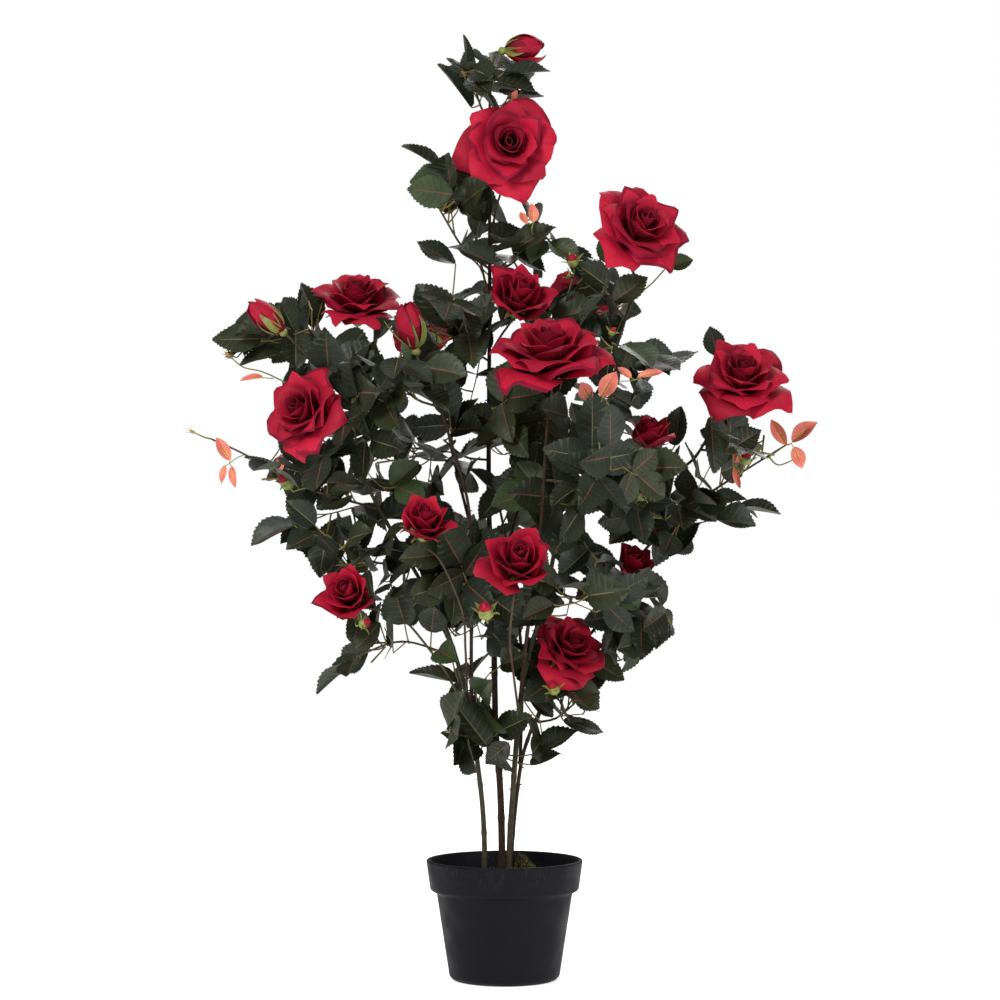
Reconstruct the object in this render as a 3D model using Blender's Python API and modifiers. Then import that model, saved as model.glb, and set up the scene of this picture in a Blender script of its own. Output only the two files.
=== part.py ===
"""Artificial rose bush in a plastic pot: the pot, its filling, the canes, the roses and the masses of foliage.

Units are metres with +Z up. The origin is the centre of the pot's flat underside, and the front is -Y.
Each foliage mass grows from one stem by a seeded rule, and each rose is one solid with its own stalk.
"""
import math
import random
from itertools import combinations, product

import bmesh
import bpy
import numpy as np
from mathutils import Matrix, Vector
from mathutils.bvhtree import BVHTree

CM = 0.01
MM = 0.001
GAP = 0.3 * MM
WELD = 0.01 * MM
WELDS = (0.01 * MM, 0.002 * MM, 0.03 * MM)
NUDGES = (0.0, 0.05 * MM, 0.05 * MM, 0.1 * MM)

# The bush is laid out as it is seen from the front, from this far away and this high
VIEW_DISTANCE = 3.5
VIEW_HEIGHT = 0.548

# Pot
POT_HEIGHT = 0.137
POT_FOOT_RADIUS = 0.0624
POT_BODY_TOP_RADIUS = 0.0777
POT_BAND_FOOT_RADIUS = 0.0850
POT_RIM_RADIUS = 0.0895
POT_BAND_HEIGHT = 0.034
POT_BAND_CHAMFER = 0.004
POT_FOOT_ROUND = 0.004
POT_WALL = 0.0025
POT_LIP = 0.0012
POT_STEPS = 36

# Filling of the pot, which holds the canes
FILL_TOP = 0.118
FILL_CROWN = 0.006
SOCKET_DEPTH = 0.025
SOCKET_CLEARANCE = 0.6 * MM

# Canes and boughs: a route is (across, height, depth) in cm, laid out as seen from the front
CANE_STEP = 0.055
# name: (route, radius at the foot and at the tip in mm)
CANES = {
    "centre_cane": ([(-0.3, 15.9, 0), (-0.5, 22.1, 0), (-1.0, 28.6, 0), (-1.2, 37.6, 0.5), (-1.8, 54.8, 1),
                     (-1.7, 77.7, 1), (-1.7, 99.4, 0), (-1.5, 103.6, 0)], (4.3, 1.4)),
    "left_cane": ([(-2.3, 15.9, -1), (-2.6, 20.7, -1), (-3.4, 26.9, -1.5), (-4.4, 32.7, -3), (-6.7, 40.1, -5),
                   (-11.3, 48.4, -7), (-15.3, 55.6, -9), (-18.5, 63.0, -10)], (3.3, 1.7)),
    "right_cane": ([(0.6, 15.9, -1.6), (1.0, 22.1, -1.6), (1.7, 30.8, -3), (2.5, 35.9, -4), (4.6, 43.4, -5),
                    (5.9, 50.2, -5), (7.0, 57.1, -5), (9.1, 64.2, -5), (11.7, 69.2, -5), (13.9, 75.7, -6),
                    (15.4, 79.4, -6)], (3.5, 1.7)),
    "rear_cane": ([(0.9, 15.9, 2), (1.8, 24.0, 2.2), (2.8, 27.8, 2.2), (3.9, 30.4, 1.6), (4.9, 33.1, 1)], (2.8, 1.9)),
}
# name: (bough or cane it grows from, route, radius at the foot and at the tip in mm)
BOUGHS = {
    "upper_left_bough": ("left_cane", [(-6.0, 38.8, -4), (-8.8, 44.5, -1), (-10.8, 51.4, 0), (-12.2, 58.2, 1),
                                       (-14.6, 69.1, 3), (-15.9, 72.6, 3)], (2.3, 1.6)),
    "bud_bough": ("left_cane", [(-4.0, 30.6, -3), (-3.8, 38.8, -7), (-3.7, 46.8, -9), (-4.1, 53.8, -10),
                                (-6.5, 62.6, -11), (-9.1, 70.2, -12)], (2.2, 1.5)),
    "rose_bough": ("right_cane", [(1.8, 31.9, -3), (2.5, 38.8, -8), (3.4, 45.6, -11), (4.2, 52.5, -13),
                                  (4.6, 59.4, -14), (5.0, 65.0, -14.5)], (2.3, 1.7)),
    "right_bough": ("right_cane", [(6.6, 54.2, -5), (10.9, 56.5, -2), (14.9, 57.2, -1), (20.8, 58.8, 0),
                                   (23.9, 63.0, -0.5)], (2.2, 1.6)),
    "far_right_bough": ("rear_cane", [(3.0, 28.4, 2), (6.4, 35.1, 4.5), (10.9, 40.8, 6), (15.5, 48.4, 6),
                                      (22.1, 54.7, 4)], (2.2, 1.4)),
    "back_left_bough": ("centre_cane", [(-1.2, 37.6, 0.5), (-3.0, 47.9, 8), (-6.0, 60.5, 15), (-7.8, 70.2, 19)],
                        (2.3, 1.6)),
    "back_right_bough": ("centre_cane", [(-1.3, 42.2, 0.5), (1.2, 52.5, 9), (5.0, 64.0, 16), (8.0, 72.4, 19)],
                         (2.3, 1.6)),
    "back_low_bough": ("rear_cane", [(1.8, 24.5, 2), (2.0, 36.5, 10), (0.9, 46.8, 17), (-0.5, 53.8, 20)],
                       (2.2, 1.5)),
}

# Roses and buds: a form is a list of (radius, height) in bloom radii from the foot of the hip to the heart
ROSE_SIDES = 10
OPEN_FORM = [(0.0, -0.80), (0.14, -0.68), (0.60, -0.38), (1.0, -0.04), (0.62, 0.0), (0.66, 0.26), (0.42, 0.12),
             (0.40, 0.36), (0.18, 0.22), (0.0, 0.36)]
CUP_FORM = [(0.0, -1.12), (0.18, -0.96), (0.74, -0.60), (1.0, -0.06), (0.98, 0.24), (0.62, 0.12), (0.58, 0.44),
            (0.30, 0.32), (0.0, 0.50)]
BUD_FORM = [(0.0, -1.75), (0.34, -1.60), (0.30, -1.35), (0.82, -0.95), (1.0, -0.25), (0.84, 0.55), (0.46, 1.20),
            (0.0, 1.40)]
# rows of each form that are petal edges: (row, how far the lobes stand out, how far their tips drop)
OPEN_LOBES = [(3, 0.15, -0.10), (5, 0.07, 0.04), (7, 0.05, 0.04)]
CUP_LOBES = [(4, 0.09, -0.05), (6, 0.05, 0.04)]
LOBES_ROUND = 5
STALK_RADIUS = (1.2, 1.5)
SEPALS = 4
# name: (form, centre, radius in cm, facing, what carries it, stalk route from there)
BLOOMS = {
    "top_bud": ("bud", (2.3, 106.6, 0), 1.75, (0.95, -0.25, 0.12), "centre_cane", [(-1.5, 103.6, 0)]),
    "top_rose": ("open", (0.6, 95.5, -7), 5.1, (0.05, -0.98, 0.12), "centre_cane",
                 [(-1.8, 78.5, 1), (-3.1, 84.0, -1), (-3.4, 88.6, -2), (-2.2, 92.5, -2.6)]),
    "upper_right_rose": ("open", (16.1, 85.8, -8), 5.1, (0.30, -0.80, 0.52), "right_cane", [(15.4, 79.4, -6)]),
    "right_rose": ("open", (27.4, 68.7, -2), 5.0, (0.12, -0.62, 0.78), "right_bough", [(23.9, 63.0, -0.5)]),
    "upper_centre_rose": ("cup", (1.9, 78.8, -8), 3.6, (0.22, -0.72, 0.66), "centre_cane",
                          [(-1.7, 71.5, 1), (-0.4, 73.6, -3)]),
    "centre_rose": ("open", (5.1, 72.3, -16), 5.8, (-0.05, -0.42, 0.90), "rose_bough", [(5.0, 65.0, -14.5)]),
    "upper_left_rose": ("open", (-16.8, 77.8, 2), 4.6, (0.02, -0.40, 0.92), "upper_left_bough", [(-15.9, 72.6, 3)]),
    "left_rose": ("open", (-23.3, 65.2, -14), 4.5, (-0.62, -0.70, 0.35), "left_cane", [(-18.5, 63.0, -10)]),
    "left_bud": ("bud", (-27.3, 75.7, -8), 1.7, (-0.74, -0.20, 0.64), "left_cane",
                 [(-18.2, 62.2, -10), (-19.6, 66.2, -6.5), (-21.8, 70.3, -6)]),
    "inner_bud": ("bud", (-10.6, 74.6, -13), 1.8, (-0.16, -0.12, 0.98), "bud_bough", [(-9.1, 70.2, -12)]),
    "small_rose": ("cup", (-9.0, 52.9, -16), 3.0, (0.15, -0.62, 0.77), "left_cane",
                   [(-3.9, 33.1, -3), (-4.9, 42.2, -12), (-7.4, 47.9, -15.5)]),
    "middle_rose": ("cup", (1.7, 48.4, -18), 3.7, (0.05, -0.78, 0.62), "right_cane",
                    [(1.7, 30.8, -3), (0.6, 38.8, -11), (1.0, 43.5, -15.5)]),
    "left_low_rose": ("cup", (-18.1, 44.5, -12), 3.2, (-0.30, -0.82, 0.48), "left_cane",
                      [(-4.1, 30.9, -3), (-7.7, 36.5, -8), (-11.7, 41.3, -9), (-14.6, 42.3, -9.5)]),
    "low_right_rose": ("open", (7.6, 38.2, -4), 4.0, (0.45, -0.60, 0.66), "rear_cane", [(4.9, 33.1, 1)]),
    "half_open_rose": ("cup", (16.8, 62.7, -5), 2.7, (0.10, -0.30, 0.95), "right_bough", [(18.9, 58.2, 0)]),
    "dim_rose": ("cup", (14.8, 48.0, 0), 2.5, (0.25, -0.55, 0.80), "far_right_bough", [(11.2, 41.4, 6)]),
    "back_top_rose": ("cup", (0.9, 94.9, 9), 3.8, (0.05, 0.80, 0.60), "centre_cane",
                      [(-1.7, 84.6, 1), (-0.7, 89.1, 4.5)]),
    "back_left_rose": ("open", (-9.2, 75.0, 21), 4.0, (-0.35, 0.65, 0.68), "back_left_bough", [(-7.8, 70.2, 19)]),
    "back_right_rose": ("open", (9.2, 77.7, 21), 4.2, (0.35, 0.62, 0.70), "back_right_bough", [(8.0, 72.4, 19)]),
}

# Foliage: sizes of one compound leaf, in metres
LEAF_LENGTH = 0.058
LEAF_WIDTH = 0.041
LEAF_WIDE_AT = 0.50
LEAF_FOLD = 3.0 * MM
LEAF_SUNK = 0.5 * MM
SHRUNK = 3.0 * MM
LEAF_STALK = 0.028
SIDE_LEAF_AT = 0.60
LEAF_STALK_RADIUS = (0.6 * MM, 0.9 * MM)
LEAF_SPACING = 0.030
OUTWARD_SHIFT = 0.02
FRONT_BIAS = 0.25
EVENNESS = 3.0
SIDE_LEAF_SHARE = 0.90
SIDE_LEAF_ANGLE = math.radians(76)
TWIG_RADIUS = (1.8, 1.3)
SIDE_TWIG_RADIUS = (0.9, 1.3)
TWIG_STEP = 0.06
TWIG_BOW = 0.12
LEAF_TRIES = 24
TWIG_TRIES = 16
LIMB_CLEARANCE = 3 * MM
TWIG_CLEARANCE = 1.5 * MM
SPACE_OVERLAP = 3 * CM
BLADE_CLEARANCE = 0.6 * MM
MASS_SHARE = 0.9
BLOOM_FLATNESS = 0.60
GOLDEN_ANGLE = math.radians(137.5)
# name: (what carries it, stem route in cm, reach in cm, side twigs, compound leaves, seed)
MASSES = {
    "top_spray": ("centre_cane", [(-1.7, 98.5, 0), (-3.4, 102.0, -1)], 10, 2, 5, 1),
    "upper_left_spray": ("centre_cane", [(-1.8, 81.4, 1), (-7.4, 88.0, -4)], 10, 2, 7, 2),
    "upper_right_spray": ("centre_cane", [(-1.7, 80.8, 1), (3.6, 85.0, -2)], 10, 2, 5, 3),
    "right_shoulder": ("right_cane", [(13.9, 75.7, -6), (10.6, 81.4, -7)], 10, 2, 6, 4),
    "right_upper": ("right_cane", [(11.9, 69.6, -5), (18.2, 70.4, -7)], 10, 2, 6, 5),
    "right_rose_leaves": ("right_bough", [(22.4, 60.6, 0), (26.0, 61.4, -2)], 10, 2, 6, 6),
    "far_right_twig": ("far_right_bough", [(22.1, 54.7, 4), (26.4, 57.5, 4), (32.4, 61.2, 4)], 8, 2, 6, 7),
    "right_middle": ("right_bough", [(16.2, 57.4, -1), (20.6, 54.2, -2)], 10, 2, 7, 8),
    "right_low": ("far_right_bough", [(13.4, 44.9, 6), (15.6, 43.0, 2)], 10, 2, 7, 9),
    "low_right_spray": ("rear_cane", [(3.5, 29.6, 2), (8.0, 31.5, 0)], 10, 2, 7, 10),
    "foot_leaves": ("centre_cane", [(-0.7, 26.0, 0), (-3.6, 29.3, -4)], 10, 2, 6, 11),
    "low_left_spray": ("left_cane", [(-5.9, 37.1, -4.5), (-11.8, 38.6, -9), (-17.2, 36.8, -10)], 9, 2, 5, 12),
    "left_low": ("left_cane", [(-11.0, 47.9, -7), (-17.7, 49.0, -7)], 10, 3, 7, 13),
    "far_left_twig": ("left_cane", [(-14.5, 54.0, -8.5), (-22.7, 56.2, -8), (-29.7, 60.0, -7), (-33.6, 61.8, -6)],
                      7, 2, 6, 14),
    "left_middle": ("left_cane", [(-16.7, 59.2, -9.5), (-17.5, 66.2, -13)], 10, 2, 7, 15),
    "left_bud_leaves": ("upper_left_bough", [(-15.2, 71.1, 3), (-22.4, 73.1, 0)], 10, 2, 8, 16),
    "upper_left_middle": ("bud_bough", [(-7.4, 65.7, -11.5), (-12.5, 68.6, -13)], 10, 2, 7, 17),
    "centre_left_upper": ("centre_cane", [(-1.8, 70.8, 1), (-6.2, 76.0, -5)], 10, 2, 6, 18),
    "centre_left": ("centre_cane", [(-1.8, 59.4, 1), (-7.0, 61.7, -3)], 10, 2, 7, 19),
    "centre": ("centre_cane", [(-1.8, 60.8, 1), (2.3, 64.8, -6)], 10, 2, 6, 20),
    "centre_right": ("rose_bough", [(4.5, 57.1, -13.5), (10.5, 58.2, -13)], 10, 2, 7, 21),
    "centre_low_left": ("centre_cane", [(-1.4, 44.5, 0.6), (-6.2, 46.1, -8)], 10, 3, 7, 22),
    "centre_low_right": ("right_cane", [(5.0, 45.1, -5), (10.0, 44.0, -10)], 10, 3, 7, 23),
    "back_upper": ("centre_cane", [(-1.7, 74.3, 1), (-1.1, 83.0, 11)], 10, 3, 6, 24),
    "back_left": ("back_left_bough", [(-5.7, 59.4, 14.5), (-12.4, 61.7, 18)], 12, 3, 7, 25),
    "back_right": ("back_right_bough", [(4.8, 63.0, 15.6), (11.6, 62.0, 18)], 12, 3, 7, 26),
    "back_low": ("back_low_bough", [(0.0, 51.0, 18.8), (-2.0, 48.9, 25)], 12, 3, 7, 27),
}
# The crown's outline as seen from the front: (height, left edge, right edge) in cm
OUTLINE = [(23.5, -6.0, 5.5), (28.0, -7.3, 11.5), (31.5, -8.0, 13.5), (33.5, -22.0, 14.5), (38.5, -20.0, 19.5),
           (43.0, -21.5, 19.5), (48.0, -24.0, 20.5), (50.5, -29.5, 22.0), (54.0, -30.0, 32.0), (58.0, -33.0, 34.5),
           (62.5, -36.5, 36.0), (67.0, -31.0, 34.0), (71.5, -33.5, 32.5), (75.5, -32.5, 28.0), (78.0, -30.0, 22.0),
           (80.5, -22.0, 22.5), (83.5, -10.5, 22.5), (88.5, -11.5, 12.0), (92.0, -12.0, 6.5), (96.0, -11.8, 6.5),
           (100.0, -7.0, 5.5), (104.0, -8.0, 6.0), (108.5, -6.0, 4.0)]
# Gaps in the crown that stay open to the sky: (across, height, radius) in cm, as seen from the front
SKY = [(17.7, 75.2, 2.6), (7.6, 89.5, 3.0), (-30.0, 65.2, 2.2), (20.7, 67.7, 1.6), (-28.9, 55.0, 2.2),
       (-5.9, 80.2, 1.4), (-11.6, 80.8, 1.3), (-8.2, 32.8, 1.5), (-7.5, 95.8, 1.3), (-8.5, 58.7, 1.2),
       (29.1, 64.1, 1.0), (-18.9, 74.0, 1.0), (-13.2, 72.9, 1.0), (-3.6, 68.0, 0.9), (-8.9, 36.3, 1.0),
       (9.8, 85.5, 1.0), (11.0, 50.3, 1.0), (-0.4, 58.9, 0.9), (-6.0, 55.8, 1.0), (-9.9, 65.2, 0.9),
       (0.2, 33.1, 1.0), (-14.3, 31.0, 3.0), (-25.5, 69.5, 0.9)]

COLOURS = {
    "pot": ((0.017, 0.018, 0.021), 0.55),
    "filling": ((0.060, 0.058, 0.024), 0.95),
    "cane": ((0.042, 0.026, 0.018), 0.60),
    "petal": ((0.480, 0.010, 0.035), 0.65),
    "leaf": ((0.020, 0.042, 0.022), 0.60),
}


def material(kind):
    """The Principled material of one kind of piece, made once."""
    name = "rose bush " + kind
    if name in bpy.data.materials:
        return bpy.data.materials[name]
    colour, roughness = COLOURS[kind]
    made = bpy.data.materials.new(name)
    made.use_nodes = True
    shader = made.node_tree.nodes["Principled BSDF"]
    shader.inputs["Base Color"].default_value = (*colour, 1.0)
    shader.inputs["Roughness"].default_value = roughness
    shader.inputs["Metallic"].default_value = 0.0
    return made


def collection(name):
    made = bpy.data.collections.new(name)
    bpy.context.scene.collection.children.link(made)
    return made


def add_object(name, mesh, folder, kind=None):
    made = bpy.data.objects.new(name, mesh)
    folder.objects.link(made)
    if kind is not None:
        mesh.materials.clear()
        mesh.materials.append(material(kind))
    return made


def evaluated_mesh(source, weld=WELD):
    """The mesh of an object with its modifiers or its bevel applied, welded; the object is removed."""
    bpy.context.view_layer.update()
    graph = bpy.context.evaluated_depsgraph_get()
    mesh = bpy.data.meshes.new_from_object(source.evaluated_get(graph))
    mesh.transform(source.matrix_world)
    shape = bmesh.new()
    shape.from_mesh(mesh)
    if weld:
        bmesh.ops.remove_doubles(shape, verts=shape.verts, dist=weld)
        bmesh.ops.recalc_face_normals(shape, faces=shape.faces)
    shape.to_mesh(mesh)
    shape.free()
    bpy.data.objects.remove(source)
    return mesh


def laid_out(across, height, depth):
    """A real point, from where it is seen on the plane through the pot's axis and its depth behind that."""
    spread = (VIEW_DISTANCE + depth * CM) / VIEW_DISTANCE
    return np.array([across * CM * spread, depth * CM, VIEW_HEIGHT + (height * CM - VIEW_HEIGHT) * spread])


def seen_at(points):
    """Where points are seen on the plane through the pot's axis, as (across, height) in metres."""
    spread = (VIEW_DISTANCE + points[:, 1]) / VIEW_DISTANCE
    return np.stack([points[:, 0] / spread, VIEW_HEIGHT + (points[:, 2] - VIEW_HEIGHT) / spread], axis=1)


def unit(vector):
    return vector / np.linalg.norm(vector)


def smooth_route(points, step):
    """Points about a step apart on a smooth curve through the given ones."""
    ends = [2 * points[0] - points[1], *points, 2 * points[-1] - points[-2]]
    route = []
    for before, start, end, after in zip(ends, ends[1:], ends[2:], ends[3:]):
        pieces = max(1, round(np.linalg.norm(end - start) / step))
        for piece in range(pieces):
            t = piece / pieces
            bend = (2 * before - 5 * start + 4 * end - after) * t ** 2
            bend = bend + (3 * start - before - 3 * end + after) * t ** 3
            route.append(start + 0.5 * ((end - before) * t + bend))
    route.append(points[-1])
    return np.array(route)


def along(route, share):
    """The point and the direction at a share of a route's length."""
    spans = np.linalg.norm(np.diff(route, axis=0), axis=1)
    left = share * spans.sum()
    for index, span in enumerate(spans):
        if left <= span or index == len(spans) - 1:
            break
        left -= span
    direction = (route[index + 1] - route[index]) / spans[index]
    return route[index] + direction * min(left, spans[index]), direction


def nearest_on(route, point):
    """The nearest point of a route, the direction there and the share of the length before it."""
    starts = route[:-1]
    spans = np.diff(route, axis=0)
    lengths = np.linalg.norm(spans, axis=1)
    t = np.clip(((point - starts) * spans).sum(axis=1) / lengths ** 2, 0, 1)
    feet = starts + spans * t[:, None]
    index = int(np.linalg.norm(feet - point, axis=1).argmin())
    share = (lengths[:index].sum() + t[index] * lengths[index]) / lengths.sum()
    return feet[index], spans[index] / lengths[index], share


def distance_to(points, starts, ends):
    """Distances from each point to each straight piece, as an array of points by pieces."""
    spans = ends - starts
    t = ((points[:, None] - starts) * spans).sum(axis=2) / (spans ** 2).sum(axis=1)
    feet = starts + spans * np.clip(t, 0, 1)[..., None]
    return np.linalg.norm(points[:, None] - feet, axis=2)


def tube(route, radii, sides):
    """A tapering closed tube along a route, as a mesh; a twig has three sides."""
    curve = bpy.data.curves.new("tube", "CURVE")
    curve.dimensions = "3D"
    curve.use_fill_caps = True
    if sides == 3:
        curve.bevel_mode = "OBJECT"
        curve.bevel_object = bpy.data.objects["twig section"]
    else:
        curve.bevel_depth = 1.0
        curve.bevel_resolution = (sides - 4) // 2
    spline = curve.splines.new("POLY")
    spline.points.add(len(route) - 1)
    for index, (point, place) in enumerate(zip(spline.points, route)):
        point.co = (*place, 1.0)
        share = index / (len(route) - 1)
        point.radius = (radii[0] + (radii[1] - radii[0]) * share) * MM
    return evaluated_mesh(add_object("tube", curve, bpy.context.scene.collection))


def add_twig_section():
    """The triangle that twigs are swept along, one metre in radius, so a point's radius is the twig's."""
    curve = bpy.data.curves.new("twig section", "CURVE")
    curve.dimensions = "2D"
    spline = curve.splines.new("POLY")
    spline.points.add(2)
    spline.use_cyclic_u = True
    for corner, point in enumerate(spline.points):
        angle = -corner * 2 * math.pi / 3
        point.co = (math.cos(angle), math.sin(angle), 0, 1)
    section = add_object("twig section", curve, bpy.context.scene.collection)
    section.hide_render = True
    return section


def turned(profile, steps):
    """A turned solid from (radius, height) points that run down its outer side."""
    mesh = bpy.data.meshes.new("profile")
    places = [(radius, 0, height) for radius, height in profile]
    mesh.from_pydata(places, [(i, i + 1) for i in range(len(places) - 1)], [])
    blank = add_object("profile", mesh, bpy.context.scene.collection)
    screw = blank.modifiers.new("Screw", "SCREW")
    screw.steps = steps
    screw.render_steps = steps
    screw.use_merge_vertices = True
    screw.merge_threshold = WELD
    return evaluated_mesh(blank)


def looking(direction, spin=0.0):
    """The turn that takes +Z to a direction, after a spin about +Z."""
    turn = Vector(direction).to_track_quat("Z", "Y").to_matrix().to_4x4()
    return turn @ Matrix.Rotation(spin, 4, "Z")


def add_blade(shape, base, direction, normal, length, width, grown=0.0):
    """Add one leaflet: a thin folded blade of four faces, with its keel below and its edges raised."""
    side = np.cross(normal, direction)
    frame = Matrix.Translation(base) @ Matrix(np.array([direction, side, normal]).T.tolist()).to_4x4()
    cone = bmesh.ops.create_cone(shape, cap_ends=True, segments=3, radius1=1.0, radius2=0.0, depth=1.0)["verts"]
    wide_at, half = LEAF_WIDE_AT * length, width / 2 + grown
    places = [(0, 0, -grown), (length + grown, 0, -grown), (wide_at, half, LEAF_FOLD), (wide_at, -half, LEAF_FOLD)]
    for vert, place in zip(cone, places):
        vert.co = frame @ Vector(place)
    faces = list({face for vert in cone for face in vert.link_faces})
    bmesh.ops.recalc_face_normals(shape, faces=faces)


def add_rod(shape, start, end, radii):
    """Add a short straight tapering stick with three sides between two points."""
    span = end - start
    place = Matrix.Translation((start + end) / 2) @ looking(span)
    bmesh.ops.create_cone(shape, cap_ends=True, segments=3, radius1=radii[0], radius2=radii[1],
                          depth=np.linalg.norm(span), matrix=place)


def single_mesh(adder, *values):
    shape = bmesh.new()
    adder(shape, *values)
    mesh = bpy.data.meshes.new("piece")
    shape.to_mesh(mesh)
    shape.free()
    return mesh


def islands(shape):
    """The separate shells of a mesh, each as a list of faces."""
    left = set(shape.faces)
    shells = []
    while left:
        todo = [left.pop()]
        shell = []
        while todo:
            face = todo.pop()
            shell.append(face)
            for edge in face.edges:
                for other in edge.link_faces:
                    if other in left:
                        left.remove(other)
                        todo.append(other)
        shells.append(shell)
    return shells


def volume_of(mesh):
    shape = bmesh.new()
    shape.from_mesh(mesh)
    volume = shape.calc_volume()
    shape.free()
    return volume


def shell_volume(shell):
    total = 0.0
    for face in shell:
        first = face.verts[0].co
        for corner, after in zip(face.verts[1:-1], face.verts[2:]):
            total += first.dot(corner.co.cross(after.co)) / 6
    return total


def tidy_shell(mesh, split, weld):
    """Split a fused mesh into triangles and keep its largest shell, so that loose scraps are dropped and sealed
    hollows are filled; say whether what is left is one closed surface."""
    shape = bmesh.new()
    shape.from_mesh(mesh)
    bmesh.ops.remove_doubles(shape, verts=shape.verts, dist=weld)
    bmesh.ops.dissolve_degenerate(shape, edges=shape.edges, dist=weld)
    bmesh.ops.triangulate(shape, faces=shape.faces, ngon_method=split)
    shells = sorted(islands(shape), key=shell_volume)
    for shell in shells[:-1]:
        bmesh.ops.delete(shape, geom=shell, context="FACES")
    closed = len(shape.edges) > 0 and all(len(edge.link_faces) == 2 for edge in shape.edges)
    tidy = bpy.data.meshes.new(mesh.name)
    shape.to_mesh(tidy)
    shape.free()
    return tidy, closed


def joined_mesh(pieces, solver):
    """Pieces joined by one Boolean union on a collection, as a mesh."""
    joined = collection("to join")
    for piece in pieces[1:]:
        add_object("piece", piece.copy(), joined)
    whole = add_object("whole", pieces[0].copy(), bpy.context.scene.collection)
    union = whole.modifiers.new("Union", "BOOLEAN")
    union.operation = "UNION"
    union.operand_type = "COLLECTION"
    union.collection = joined
    union.solver = solver
    mesh = evaluated_mesh(whole, 0.0)
    for piece in list(joined.objects):
        bpy.data.objects.remove(piece)
    bpy.data.collections.remove(joined)
    return mesh


def nudged(pieces, way, rng):
    """Copies of pieces, each moved a hair's breadth, for when edges that just meet keep a union open."""
    moved = []
    for piece in pieces:
        copy = piece.copy()
        copy.transform(Matrix.Translation([way * rng.uniform(-1, 1) for axis in range(3)]))
        moved.append(copy)
    return moved


def fuse(name, pieces, folder, kind, least=0.0):
    """Join pieces into one closed solid, at least so large in volume; False when no way of joining closes it."""
    rng = random.Random(len(pieces))
    for nudge, solver in product(NUDGES, ("EXACT", "MANIFOLD")):
        mesh = joined_mesh(nudged(pieces, nudge, rng), solver)
        for weld, split in product(WELDS, ("BEAUTY", "EAR_CLIP")):
            tidy, closed = tidy_shell(mesh, split, weld)
            if closed and volume_of(tidy) > least:
                print(name, solver, split, "nudge", nudge / MM, "weld", weld / MM, "triangles", len(tidy.polygons))
                tidy.name = name
                add_object(name, tidy, folder, kind)
                return True
    print(name, "stays open")
    return False


def shade_round(piece):
    piece.data.shade_smooth()
    piece.data.set_sharp_from_angle(angle=math.radians(40))


def add_pot(folder):
    """The pot: a tapered body under a wider band, open at the top, with a flat underside."""
    body_top = POT_HEIGHT - POT_BAND_HEIGHT - POT_BAND_CHAMFER
    slope = (POT_BODY_TOP_RADIUS - POT_FOOT_RADIUS) / body_top
    floor = 2 * POT_WALL
    inner_foot = POT_FOOT_RADIUS + slope * floor - POT_WALL
    inner_top = POT_RIM_RADIUS - POT_WALL - 2 * POT_LIP
    profile = [(0, floor), (inner_foot, floor), (POT_BODY_TOP_RADIUS - POT_WALL, body_top),
               (POT_BAND_FOOT_RADIUS - 2 * POT_WALL, body_top + POT_BAND_CHAMFER + POT_WALL),
               (inner_top, POT_HEIGHT - POT_LIP), (inner_top + POT_LIP, POT_HEIGHT),
               (POT_RIM_RADIUS - POT_LIP, POT_HEIGHT), (POT_RIM_RADIUS, POT_HEIGHT - POT_LIP),
               (POT_BAND_FOOT_RADIUS, body_top + POT_BAND_CHAMFER), (POT_BODY_TOP_RADIUS, body_top),
               (POT_FOOT_RADIUS + slope * POT_FOOT_ROUND, POT_FOOT_ROUND),
               (POT_FOOT_RADIUS - POT_FOOT_ROUND, 0), (0, 0)]
    mesh = turned(profile, POT_STEPS)
    mesh.name = "pot"
    pot = add_object("pot", mesh, folder, "pot")
    shade_round(pot)
    return profile


def add_filling(folder, pot_profile, canes):
    """The filling: it follows the pot's inner wall, a gap clear of it, and has a socket for each cane."""
    clear = []
    for radius, height in pot_profile[1:4]:
        if height < FILL_TOP:
            clear.append((radius - 2 * GAP, height))
    clear[0] = (clear[0][0], clear[0][1] + GAP)
    rim_in, band_in = pot_profile[4], pot_profile[3]
    edge = band_in[0] + (rim_in[0] - band_in[0]) * (FILL_TOP - FILL_CROWN - band_in[1]) / (rim_in[1] - band_in[1])
    profile = [(0, FILL_TOP), (0.45 * edge, FILL_TOP - 0.1 * FILL_CROWN), (0.8 * edge, FILL_TOP - 0.5 * FILL_CROWN),
               (edge - 2 * GAP, FILL_TOP - FILL_CROWN), *reversed(clear), (0, clear[0][1])]
    filling = add_object("filling", turned(profile, POT_STEPS), folder, "filling")
    cutters = collection("sockets")
    for route, radii in canes:
        shape = bmesh.new()
        bmesh.ops.create_cone(shape, cap_ends=True, segments=12, depth=2 * SOCKET_DEPTH,
                              radius1=radii[0] * MM + SOCKET_CLEARANCE, radius2=radii[0] * MM + SOCKET_CLEARANCE)
        shape.transform(Matrix.Translation((route[0][0], route[0][1], FILL_TOP)))
        mesh = bpy.data.meshes.new("socket")
        shape.to_mesh(mesh)
        shape.free()
        cutter = add_object("socket", mesh, cutters)
        cutter.hide_render = True
        cutter.display_type = "WIRE"
    cut = filling.modifiers.new("Sockets", "BOOLEAN")
    cut.operation = "DIFFERENCE"
    cut.operand_type = "COLLECTION"
    cut.collection = cutters
    mesh = evaluated_mesh(filling)
    mesh.name = "filling"
    add_object("filling", mesh, folder, "filling")
    for cutter in list(cutters.objects):
        bpy.data.objects.remove(cutter)
    bpy.data.collections.remove(cutters)


def cane_route(points):
    """A cane's route: straight down into its socket, then up along its own points."""
    places = [laid_out(*point) for point in points]
    foot = places[0]
    socket = np.array([foot[0], foot[1], FILL_TOP - SOCKET_DEPTH + GAP])
    collar = np.array([foot[0], foot[1], FILL_TOP + 2 * GAP])
    return smooth_route([socket, collar, *places], CANE_STEP)


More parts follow.
